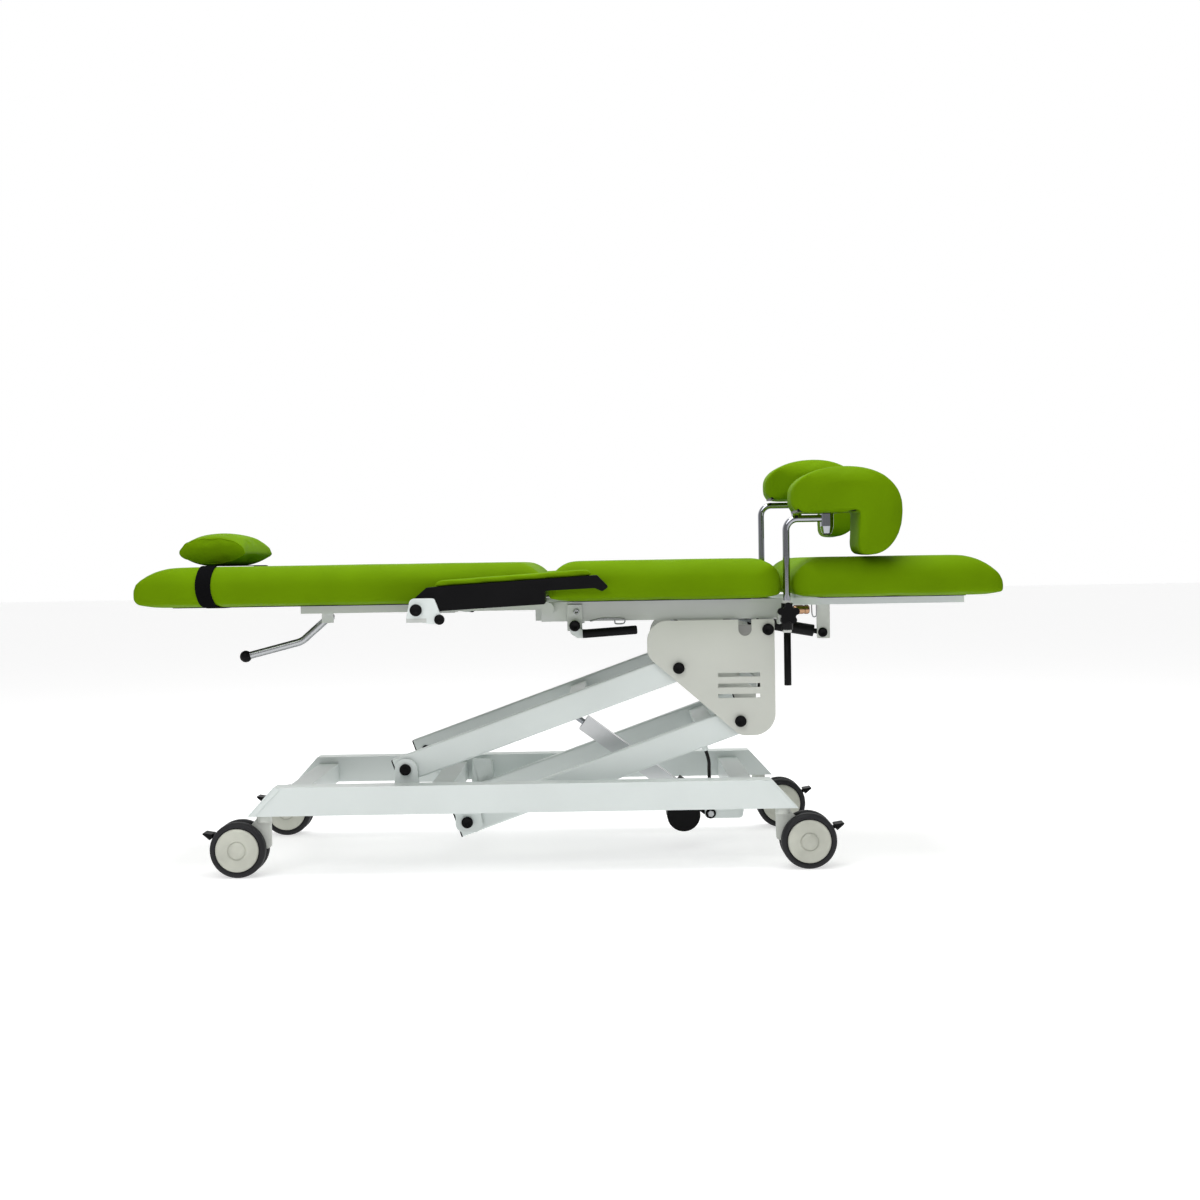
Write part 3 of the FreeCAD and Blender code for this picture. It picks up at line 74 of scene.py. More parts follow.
def shader(name, color, roughness, metallic=0.0, specular=0.5):
    """A new material with its node tree and its main shader."""
    mat = bpy.data.materials.new(name)
    mat.use_nodes = True
    tree = mat.node_tree
    main = tree.nodes["Principled BSDF"]
    main.inputs["Base Color"].default_value = (*color, 1)
    main.inputs["Roughness"].default_value = roughness
    main.inputs["Metallic"].default_value = metallic
    main.inputs["Specular IOR Level"].default_value = specular
    return mat, tree, main


def texture(tree, kind, scale, stretch=(1, 1, 1), **settings):
    """A texture in the object's own coordinates; scale is in cells per metre."""
    place = tree.nodes.new("ShaderNodeTexCoord")
    mapping = tree.nodes.new("ShaderNodeMapping")
    mapping.inputs["Scale"].default_value = stretch
    node = tree.nodes.new(kind)
    node.inputs["Scale"].default_value = scale
    for key, value in settings.items():
        if key in node.inputs:
            node.inputs[key].default_value = value
        else:
            setattr(node, key, value)
    tree.links.new(place.outputs["Object"], mapping.inputs["Vector"])
    tree.links.new(mapping.outputs["Vector"], node.inputs["Vector"])
    return node


def vary_color(tree, main, source, first, second):
    """Blends two colours by a texture's value."""
    ramp = tree.nodes.new("ShaderNodeValToRGB")
    stops = ramp.color_ramp.elements
    for stop, position, color in zip(stops, (NOISE_LOW, NOISE_HIGH), (first, second)):
        stop.position = position
        stop.color = (*color, 1)
    tree.links.new(source.outputs[0], ramp.inputs["Fac"])
    tree.links.new(ramp.outputs["Color"], main.inputs["Base Color"])


def vary_roughness(tree, main, source, low, high):
    """Spreads the roughness between two values by a texture's value."""
    spread = tree.nodes.new("ShaderNodeMapRange")
    spread.inputs["From Min"].default_value = NOISE_LOW
    spread.inputs["From Max"].default_value = NOISE_HIGH
    spread.inputs["To Min"].default_value = low
    spread.inputs["To Max"].default_value = high
    tree.links.new(source.outputs[0], spread.inputs["Value"])
    tree.links.new(spread.outputs["Result"], main.inputs["Roughness"])


def bump(tree, main, sources):
    """Chains bumps, each a (texture, height in metres) pair, into the shader's normal."""
    last = None
    for source, height in sources:
        node = tree.nodes.new("ShaderNodeBump")
        node.inputs["Strength"].default_value = BUMP_STRENGTH
        node.inputs["Distance"].default_value = height
        tree.links.new(source.outputs[0], node.inputs["Height"])
        if last:
            tree.links.new(last.outputs["Normal"], node.inputs["Normal"])
        last = node
    tree.links.new(last.outputs["Normal"], main.inputs["Normal"])


def mottled(color, share):
    """A lighter or darker tone of a colour."""
    return tuple(c * share for c in color)


def vinyl():
    """Upholstery vinyl with a leather grain."""
    color = (0.122, 0.232, 0.0018)
    mat, tree, main = shader("green_vinyl", color, 0.5, specular=0.008)
    clouds = texture(tree, "ShaderNodeTexNoise", 9, Detail=3)
    grain = texture(tree, "ShaderNodeTexVoronoi", 620, feature="SMOOTH_F1", Smoothness=0.35)
    pores = texture(tree, "ShaderNodeTexNoise", 1500, Detail=2)
    vary_color(tree, main, clouds, mottled(color, 0.93), mottled(color, 1.06))
    vary_roughness(tree, main, grain, 0.46, 0.6)
    bump(tree, main, [(grain, 0.00022), (pores, 0.00005)])
    return mat


def powder_coat(name, color, low, high, specular=0.4):
    """Baked paint with a slight orange peel."""
    mat, tree, main = shader(name, color, low, specular=specular)
    peel = texture(tree, "ShaderNodeTexNoise", 420, Detail=2)
    clouds = texture(tree, "ShaderNodeTexNoise", 6, Detail=4)
    vary_color(tree, main, clouds, mottled(color, 0.965), mottled(color, 1.025))
    vary_roughness(tree, main, clouds, low, high)
    bump(tree, main, [(peel, 0.00012)])
    return mat


def moulded(name, color, low, high, scale=900, height=0.00012, specular=0.4):
    """Plastic or rubber with a fine spark-eroded texture."""
    mat, tree, main = shader(name, color, low, specular=specular)
    grain = texture(tree, "ShaderNodeTexNoise", scale, Detail=3)
    clouds = texture(tree, "ShaderNodeTexNoise", 14, Detail=3)
    vary_color(tree, main, clouds, mottled(color, 0.85), mottled(color, 1.15))
    vary_roughness(tree, main, clouds, low, high)
    bump(tree, main, [(grain, height)])
    return mat


def bright_metal(name, color, low, high, stretch):
    """Polished or drawn metal with fine lines along one axis."""
    mat, tree, main = shader(name, color, low, 1.0)
    lines = texture(tree, "ShaderNodeTexNoise", 260, stretch, Detail=2)
    clouds = texture(tree, "ShaderNodeTexNoise", 11, Detail=3)
    vary_color(tree, main, clouds, mottled(color, 0.96), mottled(color, 1.03))
    vary_roughness(tree, main, lines, low, high)
    bump(tree, main, [(lines, 0.000008)])
    return mat


def elastic():
    """Woven elastic with ribs across its length."""
    color = (0.005, 0.005, 0.0055)
    mat, tree, main = shader("black_elastic", color, 0.8, specular=0.0)
    ribs = texture(tree, "ShaderNodeTexWave", 210, bands_direction="X", Distortion=0.4)
    threads = texture(tree, "ShaderNodeTexNoise", 1400, Detail=2)
    vary_color(tree, main, threads, mottled(color, 0.6), mottled(color, 1.6))
    bump(tree, main, [(ribs, 0.0003), (threads, 0.0001)])
    return mat


VINYL = vinyl()
PAINT = powder_coat("frame_paint", (0.70, 0.75, 0.735), 0.32, 0.42)
PLATE = powder_coat("plate_paint", (0.575, 0.59, 0.54), 0.36, 0.46)
BLACK = moulded("black_plastic", (0.004, 0.004, 0.0045), 0.38, 0.5, specular=0.09)
GRIP = moulded("black_grip", (0.004, 0.004, 0.0045), 0.45, 0.6, 500, 0.0002, specular=0.09)
STEEL = powder_coat("black_steel", (0.006, 0.006, 0.0065), 0.3, 0.42, specular=0.12)
# Painted shade: a darker copy of the frame paint, standing in for the shade under the pads' overhang on the
# seat and back frames
FRAME_PAINT_PAINTED_SHADE = powder_coat("frame_paint_painted_shade", (0.53, 0.555, 0.53), 0.34, 0.44)
CHROME = bright_metal("chrome", (0.36, 0.37, 0.40), 0.05, 0.12, (1, 1, 0.05))
SATIN = bright_metal("satin_steel", (0.40, 0.41, 0.42), 0.24, 0.36, (1, 1, 1))
ALUMINIUM = bright_metal("aluminium", (0.60, 0.61, 0.62), 0.28, 0.34, (1, 1, 1))
FORK = moulded("caster_grey", (0.56, 0.58, 0.54), 0.36, 0.46)
DISC = moulded("caster_disc", (0.54, 0.55, 0.48), 0.34, 0.44)
TYRE = moulded("tyre_rubber", (0.02, 0.02, 0.022), 0.5, 0.66, 700, 0.0002, specular=0.2)
CABLE = moulded("cable_sheath", (0.008, 0.008, 0.008), 0.36, 0.48, specular=0.2)
INSERT = moulded("grey_insert", (0.22, 0.22, 0.21), 0.4, 0.5)
ELASTIC = elastic()
CLEAR_RING = moulded("pale_nylon", (0.62, 0.63, 0.60), 0.3, 0.4)
BRONZE = bright_metal("bronze", (0.42, 0.25, 0.15), 0.2, 0.32, (0.06, 1, 1))
FLEECE = moulded("underside_fleece", (0.018, 0.018, 0.019), 0.85, 0.95, 1600, 0.0004)


# Mesh helpers

def mesh_of(name, bm):
    """Hands a bmesh over to a new mesh."""
    data = bpy.data.meshes.new(name)
    bm.to_mesh(data)
    bm.free()
    return data


def new_object(name, data, mat, body, smooth=True):
    """An object with one finish, which rides on a body where one is named."""
    data.name = name
    obj = bpy.data.objects.new(name, data)
    scene.collection.objects.link(obj)
    data.materials.clear()
    data.materials.append(mat)
    if smooth:
        data.shade_smooth()
    if body:
        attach(obj, body)
    return obj


def piece(name, bm, mat, body, smooth=True):
    """Turns a bmesh into a piece that rides on a body."""
    bmesh.ops.recalc_face_normals(bm, faces=bm.faces)
    return new_object(name, mesh_of(name, bm), mat, body, smooth)


def rectangle(left, right, low, high, radii):
    """Corners of a rectangle with their radii, from the lower left one around."""
    places = ((left, low), (right, low), (right, high), (left, high))
    return [(*place, radius) for place, radius in zip(places, radii)]


def rounded(points, steps=7):
    """Samples a closed outline whose points are (u, v, corner radius)."""
    outline = []
    for i, (u, v, radius) in enumerate(points):
        here = Vector((u, v))
        if radius == 0:
            outline.append(here)
            continue
        before = (Vector(points[i - 1][:2]) - here).normalized()
        after = (Vector(points[(i + 1) % len(points)][:2]) - here).normalized()
        half = before.angle(after) / 2
        centre = here + (before + after).normalized() * radius / math.sin(half)
        start = here + before * radius / math.tan(half) - centre
        turn = before.angle_signed(after)
        sweep = math.copysign(math.pi - abs(turn), turn)
        for k in range(steps + 1):
            outline.append(centre + Matrix.Rotation(sweep * k / steps, 2) @ start)
    return outline


def ellipse(centre, wide, high, start, end, steps=9):
    """Points of an elliptical arc, with angles in degrees."""
    angles = [math.radians(start + (end - start) * k / steps) for k in range(steps + 1)]
    return [Vector((centre[0] + wide * math.cos(a), centre[1] + high * math.sin(a))) for a in angles]


def arc(centre, radius, start, end, steps=6):
    """Points of an arc in a lathe profile, with angles in degrees."""
    return ellipse(centre, radius, radius, start, end, steps)


def loft(bm, rings, closed=False):
    """Joins rings of points into a solid, or into a band that meets its own start."""
    following = rings[1:]
    if closed:
        following += rings[:1]
    else:
        bm.faces.new(rings[0])
        bm.faces.new(rings[-1])
    for first, second in zip(rings, following):
        for k in range(len(first)):
            j = (k + 1) % len(first)
            bm.faces.new((first[k], first[j], second[j], second[k]))


PLANES = {"xz": lambda u, v, w: (u, w, v),
          "yz": lambda u, v, w: (w, u, v),
          "xy": lambda u, v, w: (u, v, w)}


def prism(outline, low, high, plane, bm=None):
    """A closed solid between two copies of an outline in a plane of two axes."""
    if bm is None:
        bm = bmesh.new()
    place = PLANES[plane]
    loft(bm, [[bm.verts.new(place(u, v, w)) for u, v in outline] for w in (low, high)])
    bmesh.ops.recalc_face_normals(bm, faces=bm.faces)
    return bm


def ring(bm, middle, side, other, radius, steps):
    """New points around a circle that two directions span."""
    angles = (2 * math.pi * k / steps for k in range(steps))
    return [bm.verts.new(middle + radius * (math.cos(a) * side + math.sin(a) * other)) for a in angles]


def lathe(bm, profile, centre, axis, steps=64):
    """Revolves (radius, along) points about an axis through centre."""
    turn_axis = Vector(axis).normalized()
    side = turn_axis.orthogonal().normalized()
    other = turn_axis.cross(side)
    rings = []
    for radius, along in profile:
        middle = Vector(centre) + turn_axis * along
        on_axis = radius < 1e-6
        rings.append([bm.verts.new(middle)] if on_axis else ring(bm, middle, side, other, radius, steps))
    for first, second in zip(rings, rings[1:]):
        for k in range(steps):
            j = (k + 1) % steps
            quad = [first[k % len(first)], first[j % len(first)],
                    second[j % len(second)], second[k % len(second)]]
            unique = list(dict.fromkeys(quad))
            if len(unique) > 2:
                bm.faces.new(unique)
    return bm


def disc_profile(radius, low, high, cut_in, cut_down):
    """Lathe profile of a disc whose upper rim is bevelled."""
    return [(0, low), (radius, low), (radius, high - cut_down), (radius - cut_in, high), (0, high)]


def baked(obj):
    """The object's mesh with its modifiers applied."""
    graph = bpy.context.evaluated_depsgraph_get()
    return bpy.data.meshes.new_from_object(obj.evaluated_get(graph))


def settle(obj):
    """Applies all modifiers of an object."""
    data = baked(obj)
    obj.modifiers.clear()
    obj.data = data


def traced(points, closed=False, radius=0.0):
    """Mesh of a smooth line led by points: a capped tube, or the bare line without a radius."""
    data = bpy.data.curves.new("line", "CURVE")
    data.dimensions = "3D"
    line = data.splines.new("NURBS")
    line.points.add(len(points) - 1)
    for point, place in zip(line.points, points):
        point.co = (*place, 1)
    line.order_u = 3
    line.use_endpoint_u = True
    line.use_cyclic_u = closed
    data.bevel_depth = radius
    data.bevel_resolution = 3
    data.use_fill_caps = radius > 0
    holder = bpy.data.objects.new("line", data)
    scene.collection.objects.link(holder)
    mesh = baked(holder)
    bpy.data.objects.remove(holder)
    return mesh


def wire(name, points, radius, mat, body, closed=False):
    """A bent round wire led by points."""
    return new_object(name, traced(points, closed, radius), mat, body)


# Soft parts

RIPPLE_HEIGHT, RIPPLE_SIZE = 0.0007, 0.085


def remesh(obj, voxel):
    """Gives a solid an even mesh."""
    step = obj.modifiers.new("voxels", "REMESH")
    step.mode = "VOXEL"
    step.voxel_size = voxel
    settle(obj)


def swell(obj, cap, pressure=4.0, frames=20):
    """Blows the mesh up as cloth under pressure, and caps how far a point moves."""
    start = [v.co.copy() for v in obj.data.vertices]
    cloth = obj.modifiers.new("cloth", "CLOTH")
    cloth.settings.use_pressure = True
    cloth.settings.uniform_pressure_force = pressure
    cloth.settings.effector_weights.gravity = 0
    cloth.point_cache.frame_start = 1
    cloth.point_cache.frame_end = frames
    for step in range(1, frames + 1):
        scene.frame_set(step)
    settle(obj)
    scene.frame_set(1)
    for vertex, origin in zip(obj.data.vertices, start):
        move = vertex.co - origin
        if move.length > cap:
            vertex.co = origin + move * cap / move.length


def shrink(obj, depth):
    """Moves every point inwards."""
    normals = [v.normal.copy() for v in obj.data.vertices]
    for vertex, normal in zip(obj.data.vertices, normals):
        vertex.co -= normal * depth


def ease(obj, rounds):
    """Smooths the mesh."""
    step = obj.modifiers.new("ease", "SMOOTH")
    step.factor = 0.5
    step.iterations = rounds
    settle(obj)


def ripple(obj, height, size):
    """Slight unevenness of stretched vinyl."""
    normals = [v.normal.copy() for v in obj.data.vertices]
    for vertex, normal in zip(obj.data.vertices, normals):
        vertex.co += normal * height * noise.noise(vertex.co / size)


def extents(obj):
    """Lowest and highest coordinate along each axis."""
    columns = zip(*(v.co for v in obj.data.vertices))
    return [(min(column), max(column)) for column in columns]


def fill_box(obj, wanted):
    """Scales the mesh along each axis so that it fills a box."""
    now = extents(obj)
    for vertex in obj.data.vertices:
        for k in range(3):
            (low, high), (start, end) = now[k], wanted[k]
            vertex.co[k] = start + (vertex.co[k] - low) * (end - start) / (high - low)


def section_loop(obj, axis, at):
    """The outline where a plane across an axis cuts a soft part, in order around its middle."""
    bm = bmesh.new()
    bm.from_mesh(obj.data)
    normal = Vector((0, 0, 0))
    normal[axis] = 1
    everything = bm.verts[:] + bm.edges[:] + bm.faces[:]
    cut = bmesh.ops.bisect_plane(bm, geom=everything, plane_co=normal * at, plane_no=normal)
    points = [item.co.copy() for item in cut["geom_cut"] if isinstance(item, bmesh.types.BMVert)]
    bm.free()
    middle = sum(points, Vector()) / len(points)
    u, v = [k for k in range(3) if k != axis]
    points.sort(key=lambda p: math.atan2(p[v] - middle[v], p[u] - middle[u]))
    return points


def cushion(name, solids, body, node, voxel, depth, rest_z=None, shape=None):
    """A padded piece from the common volume of solids: remeshed, swollen and smoothed."""
    obj = None
    for i, bm in enumerate(solids):
        solid_name = f"{name}_solid_{i}"
        other = bpy.data.objects.new(solid_name, mesh_of(solid_name, bm))
        scene.collection.objects.link(other)
        if obj is None:
            obj = other
            continue
        step = obj.modifiers.new("common", "BOOLEAN")
        step.operation = "INTERSECT"
        step.solver = "EXACT"
        step.object = other
        settle(obj)
        bpy.data.objects.remove(other)
    obj.name = name
    remesh(obj, voxel)
    if shape:
        for vertex in obj.data.vertices:
            vertex.co.z = shape(vertex.co)
    filled = extents(obj)
    shrink(obj, depth)
    ease(obj, rounds=4)
    swell(obj, cap=1.6 * depth)
    ease(obj, rounds=3)
    ripple(obj, RIPPLE_HEIGHT, RIPPLE_SIZE)
    fill_box(obj, filled)
    if rest_z is not None:
        for vertex in obj.data.vertices:
            vertex.co.z = max(vertex.co.z, rest_z)
    fine = obj.modifiers.new("fine", "SUBSURF")
    fine.levels = fine.render_levels = 1
    settle(obj)
    obj.data.materials.clear()
    obj.data.materials.append(VINYL)
    obj.data.shade_smooth()
    if body:
        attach(obj, body)
    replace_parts(obj, node)
    return obj


def box_of(node):
    """Lowest and highest corner of a node's box, to a tenth of a millimetre."""
    return [[round(value, 4) for value in corner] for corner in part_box(node)]


# Section pads: the frame's top, the board on it, and where each pad ends beside its plain solid
FRAME_TOP = box_of("seat_pad")[0][2]
BOARD = 0.001
PAD_LOW = FRAME_TOP + BOARD
PAD_HALF, PAD_HIGH = box_of("seat_pad")[1][1:]
PAD_VOXEL, PAD_DEPTH = 0.008, 0.004
HINGE_GAP = round(PIVOTS["backrest_raise"].x, 4) - 0.0025
BACK_END = box_of("back_pad")[0][0] - 0.006
SEAT_START, SEAT_END = HINGE_GAP + 0.005, box_of("seat_pad")[1][0] + 0.003
LEG_START, LEG_END = box_of("leg_pad")[0][0] - 0.001, box_of("leg_pad")[1][0] + 0.002


def pad_solids(side, plan):
    """Side outline, bull-nosed section and rounded plan of a section's pad."""
    under, over = 0.016, 0.055
    margin, reach = 0.01, 1.1
    section = rectangle(-PAD_HALF, PAD_HALF, PAD_LOW, PAD_HIGH, (under, under, over, over))
    return [prism(rounded(side), -PAD_HALF - margin, PAD_HALF + margin, "xz"),
            prism(rounded(section), -reach, reach, "yz"),
            prism(rounded(plan), PAD_LOW - margin, PAD_HIGH + margin, "xy")]


def pad_plan(left, right, left_round, right_round):
    """A section's pad seen from above."""
    return rectangle(left, right, -PAD_HALF, PAD_HALF, (left_round, right_round, right_round, left_round))


def nose(end, wide, high, start, stop):
    """Elliptical upper corner of a section's outer end, as points without corner radii."""
    inward = wide if end < 0 else -wide
    return [(*point, 0) for point in ellipse((end + inward, PAD_HIGH - high), wide, high, start, stop)]


def section_pad(name, side, plan, body, node):
    """One of the three pads that lie on the section frames."""
    return cushion(name, pad_solids(side, plan), body, node, PAD_VOXEL, PAD_DEPTH, PAD_LOW)


def main_pads():
    """Backrest, seat and legrest pads; the backrest's bends with its hinge."""
    # Corner radii at the backrest's hinge, at the gap before the legrest, and at the outer ends
    hinge_low, hinge_top, hinge_plan = 0.012, 0.064, 0.03
    gap_low, gap_top, gap_plan = 0.014, 0.062, 0.075
    end_plan, back_low, leg_low = 0.02, 0.020, 0.008
    back_side = [(BACK_END, PAD_LOW, back_low), (HINGE_GAP, PAD_LOW, hinge_low)]
    back_side += [(HINGE_GAP, PAD_HIGH, hinge_top)]
    back_side += nose(BACK_END, wide=0.095, high=0.060, start=90, stop=180)
    back_plan = pad_plan(BACK_END, HINGE_GAP, end_plan, hinge_plan)
    back = section_pad("back_cushion", back_side, back_plan, None, "back_pad")
    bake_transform(back)
    pillow_strap(back)
    seat_radii = (hinge_low, gap_low, gap_top, hinge_top)
    seat_side = rectangle(SEAT_START, SEAT_END, PAD_LOW, PAD_HIGH, seat_radii)
    seat_plan = pad_plan(SEAT_START, SEAT_END, hinge_plan, gap_plan)
    section_pad("seat_cushion", seat_side, seat_plan, "seat", "seat_pad")
    leg_side = [(LEG_START, PAD_LOW, gap_low), (LEG_END, PAD_LOW, leg_low)]
    leg_side += nose(LEG_END, wide=0.105, high=0.078, start=0, stop=90)
    leg_side += [(LEG_START, PAD_HIGH, gap_top)]
    leg_plan = pad_plan(LEG_START, LEG_END, gap_plan, end_plan)
    section_pad("leg_cushion", leg_side, leg_plan, "legrest", "leg_pad")


KNEE_RISE = 0.095


def knee_outline(left, right, low):
    """Side view of a knee pad: an oval body whose outer end hooks down in a rounded lobe."""
    top, shoulder, under, drop = low + KNEE_RISE, low + 0.034, low - 0.006, low - 0.104
    inner = right - 0.100
    heel_wide, heel_high = 0.024, 0.026
    crown_left, crown_right, lobe = 0.112, 0.118, 0.068
    tip_wide, tip_high, crook = 0.018, 0.016, 0.006
    too_close = 0.0002
    outline = ellipse((left + heel_wide, under + heel_high), heel_wide, heel_high, 270, 180, 5)
    outline += ellipse((left + crown_left, shoulder), crown_left, top - shoulder, 180, 90)
    outline += ellipse((right - crown_right, under), crown_right, top - under, 90, 0)
    outline += ellipse((right - lobe, under), lobe, under - drop, 0, -90)
    outline += ellipse((inner + tip_wide, drop + tip_high), tip_wide, tip_high, 270, 180, 4)
    outline += ellipse((inner - crook, under - crook), crook, crook, 0, 90, 3)
    return [p for p, last in zip(outline, outline[-1:] + outline) if (p - last).length > too_close]


def knee_pads():
    """Pads of the leg supports, from their side outline, section and plan."""
    under, over, inner_plan, outer_plan = 0.022, 0.036, 0.055, 0.025
    margin, plan_margin, sag = 0.01, 0.001, 0.007
    tuck, overhang = 0.012, 0.004
    before, beyond = 0.4, 0.8
    for side in SIDES:
        low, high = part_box(f"support_pad_{side}")
        middle, half = (low.y + high.y) / 2, round((high.y - low.y) / 2, 4)
        left, right = round(low.x, 4) + tuck, round(high.x, 4) + overhang
        near, far, bottom = middle - half, middle + half, low.z - sag
        section = rectangle(near, far, bottom, high.z, (under, under, over, over))
        plan = rectangle(left - plan_margin, right + plan_margin, near, far,
                         (inner_plan, outer_plan, outer_plan, inner_plan))
        solids = [prism(knee_outline(left, right, high.z - KNEE_RISE), near - margin, far + margin, "xz"),
                  prism(rounded(section), before, beyond, "yz"),
                  prism(rounded(plan), bottom - margin, high.z + margin, "xy")]
        cushion(f"knee_cushion_{side}", solids, f"support_head_{side}", f"support_pad_{side}",
                voxel=0.006, depth=0.003)


def boards():
    """Dark fleece-covered boards under the three section pads."""
    inset, corner, sunk = 0.065, 0.03, 0.001
    back_stop, seat_start = -0.12, 0.0
    half = PAD_HALF - inset
    for name, left, right, body in (("back_board", BACK_END + inset, back_stop, "backrest"),
                                    ("seat_board", seat_start, SEAT_END - inset, "seat"),
                                    ("leg_board", LEG_START + inset, LEG_END - inset, "legrest")):
        outline = rounded(rectangle(left, right, -half, half, (corner,) * 4))
        piece(name, prism(outline, FRAME_TOP, PAD_LOW + sunk, "xy"), FLEECE, body, smooth=False)


def copied(node):
    """A node's own mesh as a bmesh, for a soft part whose plain solid has the right outline."""
    bm = bmesh.new()
    bm.from_mesh(NODES[node].data)
    bmesh.ops.remove_doubles(bm, verts=bm.verts, dist=0.00002)
    return bm


def pillow():
    """The headrest pillow, highest in its middle, with a corded seam around each end panel."""
    low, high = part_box("headrest_pillow")
    tip = low.z + 0.024
    centre, half = (low.x + high.x) / 2, (high.x - low.x) / 2
    widest, fullness, fall = 0.94, -0.3, 0.16
    seam_inset, seam_radius = 0.009, 0.0013

    def crowned(place):
        over = max(place.z - tip, 0)
        fuller = (1 - min(abs(place.x - centre) / half, widest) ** 2) ** fullness
        return place.z + over * (fuller * (1 - fall * (place.y / high.y) ** 2) - 1)

    soft = cushion("pillow_cushion", [copied("headrest_pillow")], "pillow", "headrest_pillow",
                   voxel=0.006, depth=0.003, shape=crowned)
    for side, sign in SIDES.items():
        seam = section_loop(soft, 1, sign * (high.y - seam_inset))[::2]
        wire(f"pillow_piping_{side}", seam, seam_radius, VINYL, "pillow", closed=True)


def armrest_pads():
    """Thin pads on the armrests' shells."""
    for side in SIDES:
        node = f"armrest_pad_{side}"
        cushion(f"armrest_cushion_{side}", [copied(node)], f"armrest_{side}", node,
                voxel=0.004, depth=0.0012)


def pillow_strap(pad):
    """An elastic band from the pillow down both sides and under the backrest's pad."""
    band_x, width, gap, thick = -0.812, 0.034, 0.0013, 0.0016
    waist, reach, lean_over, lean_under = 0.660, 0.050, 0.005, 0.012
    section = ((-width / 2, gap), (width / 2, gap), (width / 2, gap + thick), (-width / 2, gap + thick))
    outline = section_loop(pad, 0, band_x)[::2]
    bm = bmesh.new()
    rings = []
    for i, place in enumerate(outline):
        run = outline[(i + 1) % len(outline)] - outline[i - 1]
        away = Vector((0, run.z, -run.y)).normalized()
        lean = (lean_over if place.z > waist else lean_under) * ((place.z - waist) / reach) ** 2
        rings.append([bm.verts.new(place + Vector((lean + along, 0, 0)) + away * off)
                      for along, off in section])
    loft(bm, rings, closed=True)
    piece("pillow_strap", bm, ELASTIC, "pillow", smooth=False)


# Casters

def wheels():
    """Tyre ring and domed disc on both sides of each caster."""
    inner, outer = 0.0075, 0.0325
    bead, lip, inner_round, outer_round = 0.046, 0.004, 0.006, 0.009
    shoulder, seat, dip, clearance = bead + 0.0055, bead + 0.0035, 0.001, 0.0005
    # The disc's outer face from its rim to the hub, as (radius, height over the tyre's side)
    face = [(0.0485, -lip), (0.0482, -0.0005), (0.044, 0.0012), (0.024, 0.0021), (0.0207, 0.0021),
            (0.0199, 0.0004), (0.0189, 0.0004), (0.0181, 0.0031), (0.009, 0.0040), (0, 0.0042)]
    disc = [(0, inner), (bead - clearance, inner)] + [(radius, outer + height) for radius, height in face]
    for key in CASTERS:
        name = f"caster_wheels_{key}"
        low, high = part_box(name)
        centre, radius = (low + high) / 2, (high.z - low.z) / 2
        tyre = [(bead, inner), (radius - inner_round, inner)]
        tyre += arc((radius - inner_round, inner + inner_round), inner_round, -90, 0)
        tyre += arc((radius - outer_round, outer - outer_round), outer_round, 0, 90)
        tyre += [(shoulder, outer - dip), (seat, outer - lip), (bead, outer - lip), (bead, inner)]
        tyres, discs = bmesh.new(), bmesh.new()
        for hand in (-1, 1):
            lathe(tyres, tyre, centre, (0, hand, 0))
            lathe(discs, disc, centre, (0, hand, 0))
        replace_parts(piece(f"caster_tyres_{key}", tyres, TYRE, name), name)
        piece(f"caster_discs_{key}", discs, DISC, name)


# Hard trim

def post_sleeves():
    """Dark lower ends of the leg supports' posts, up to their collars."""
    skin, cap, bevel, end_inset, top_inset = 0.00002, 0.002, 0.001, 0.0008, 0.0005
    for side in SIDES:
        axis = PIVOTS[f"support_turn_{side}"]
        low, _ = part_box(f"support_post_{side}")
        post = round(axis.x - low.x, 4)
        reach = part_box(f"support_collar_{side}")[0].z - low.z
        profile = [(0, -cap), (post - end_inset, -cap), (post + skin, bevel - cap), (post + skin, reach),
                   (post - top_inset, reach)]
        bm = lathe(bmesh.new(), profile, (axis.x, axis.y, low.z), (0, 0, 1), steps=96)
        piece(f"post_sleeve_{side}", bm, BLACK, f"support_post_{side}")


def cap_profile(radius, height):
    """A domed cap: shallow skirt, rounded rim and a slightly raised centre."""
    skirt, rim = 0.0008, height * 0.6
    return ([(0.6 * radius, -skirt), (radius, -skirt)] + arc((radius - rim, height - rim), rim, 0, 80)
            + [(0.5 * radius, height * 1.08), (0.46 * radius, height * 0.94), (0, height)])


def caps(name, places, mat, body, radius=0.0132, height=0.0042):
    """Domed caps at (x, y, z) places, each facing away from the plane Y = 0."""
    bm = bmesh.new()
    for place in places:
        hand = 1 if place[1] > 0 else -1
        lathe(bm, cap_profile(radius, height), place, (0, hand, 0), steps=40)
    return piece(name, bm, mat, body)


def both_sides(point, y):
    """A pivot's place on the near and the far face."""
    return [(point.x, sign * y, point.z) for sign in SIDES.values()]


def screw(bm, place, radius, height, axis):
    """A pan head with a hexagon socket."""
    sunk = 0.0005
    profile = [(0, -sunk), (radius, -sunk)]
    profile += arc((radius * 0.75, height * 0.6), radius * 0.25, 0, 80, 4)
    profile += [(0.5 * radius, height), (0.5 * radius, height * 0.3), (0, height * 0.3)]
    lathe(bm, profile, place, axis, steps=24)


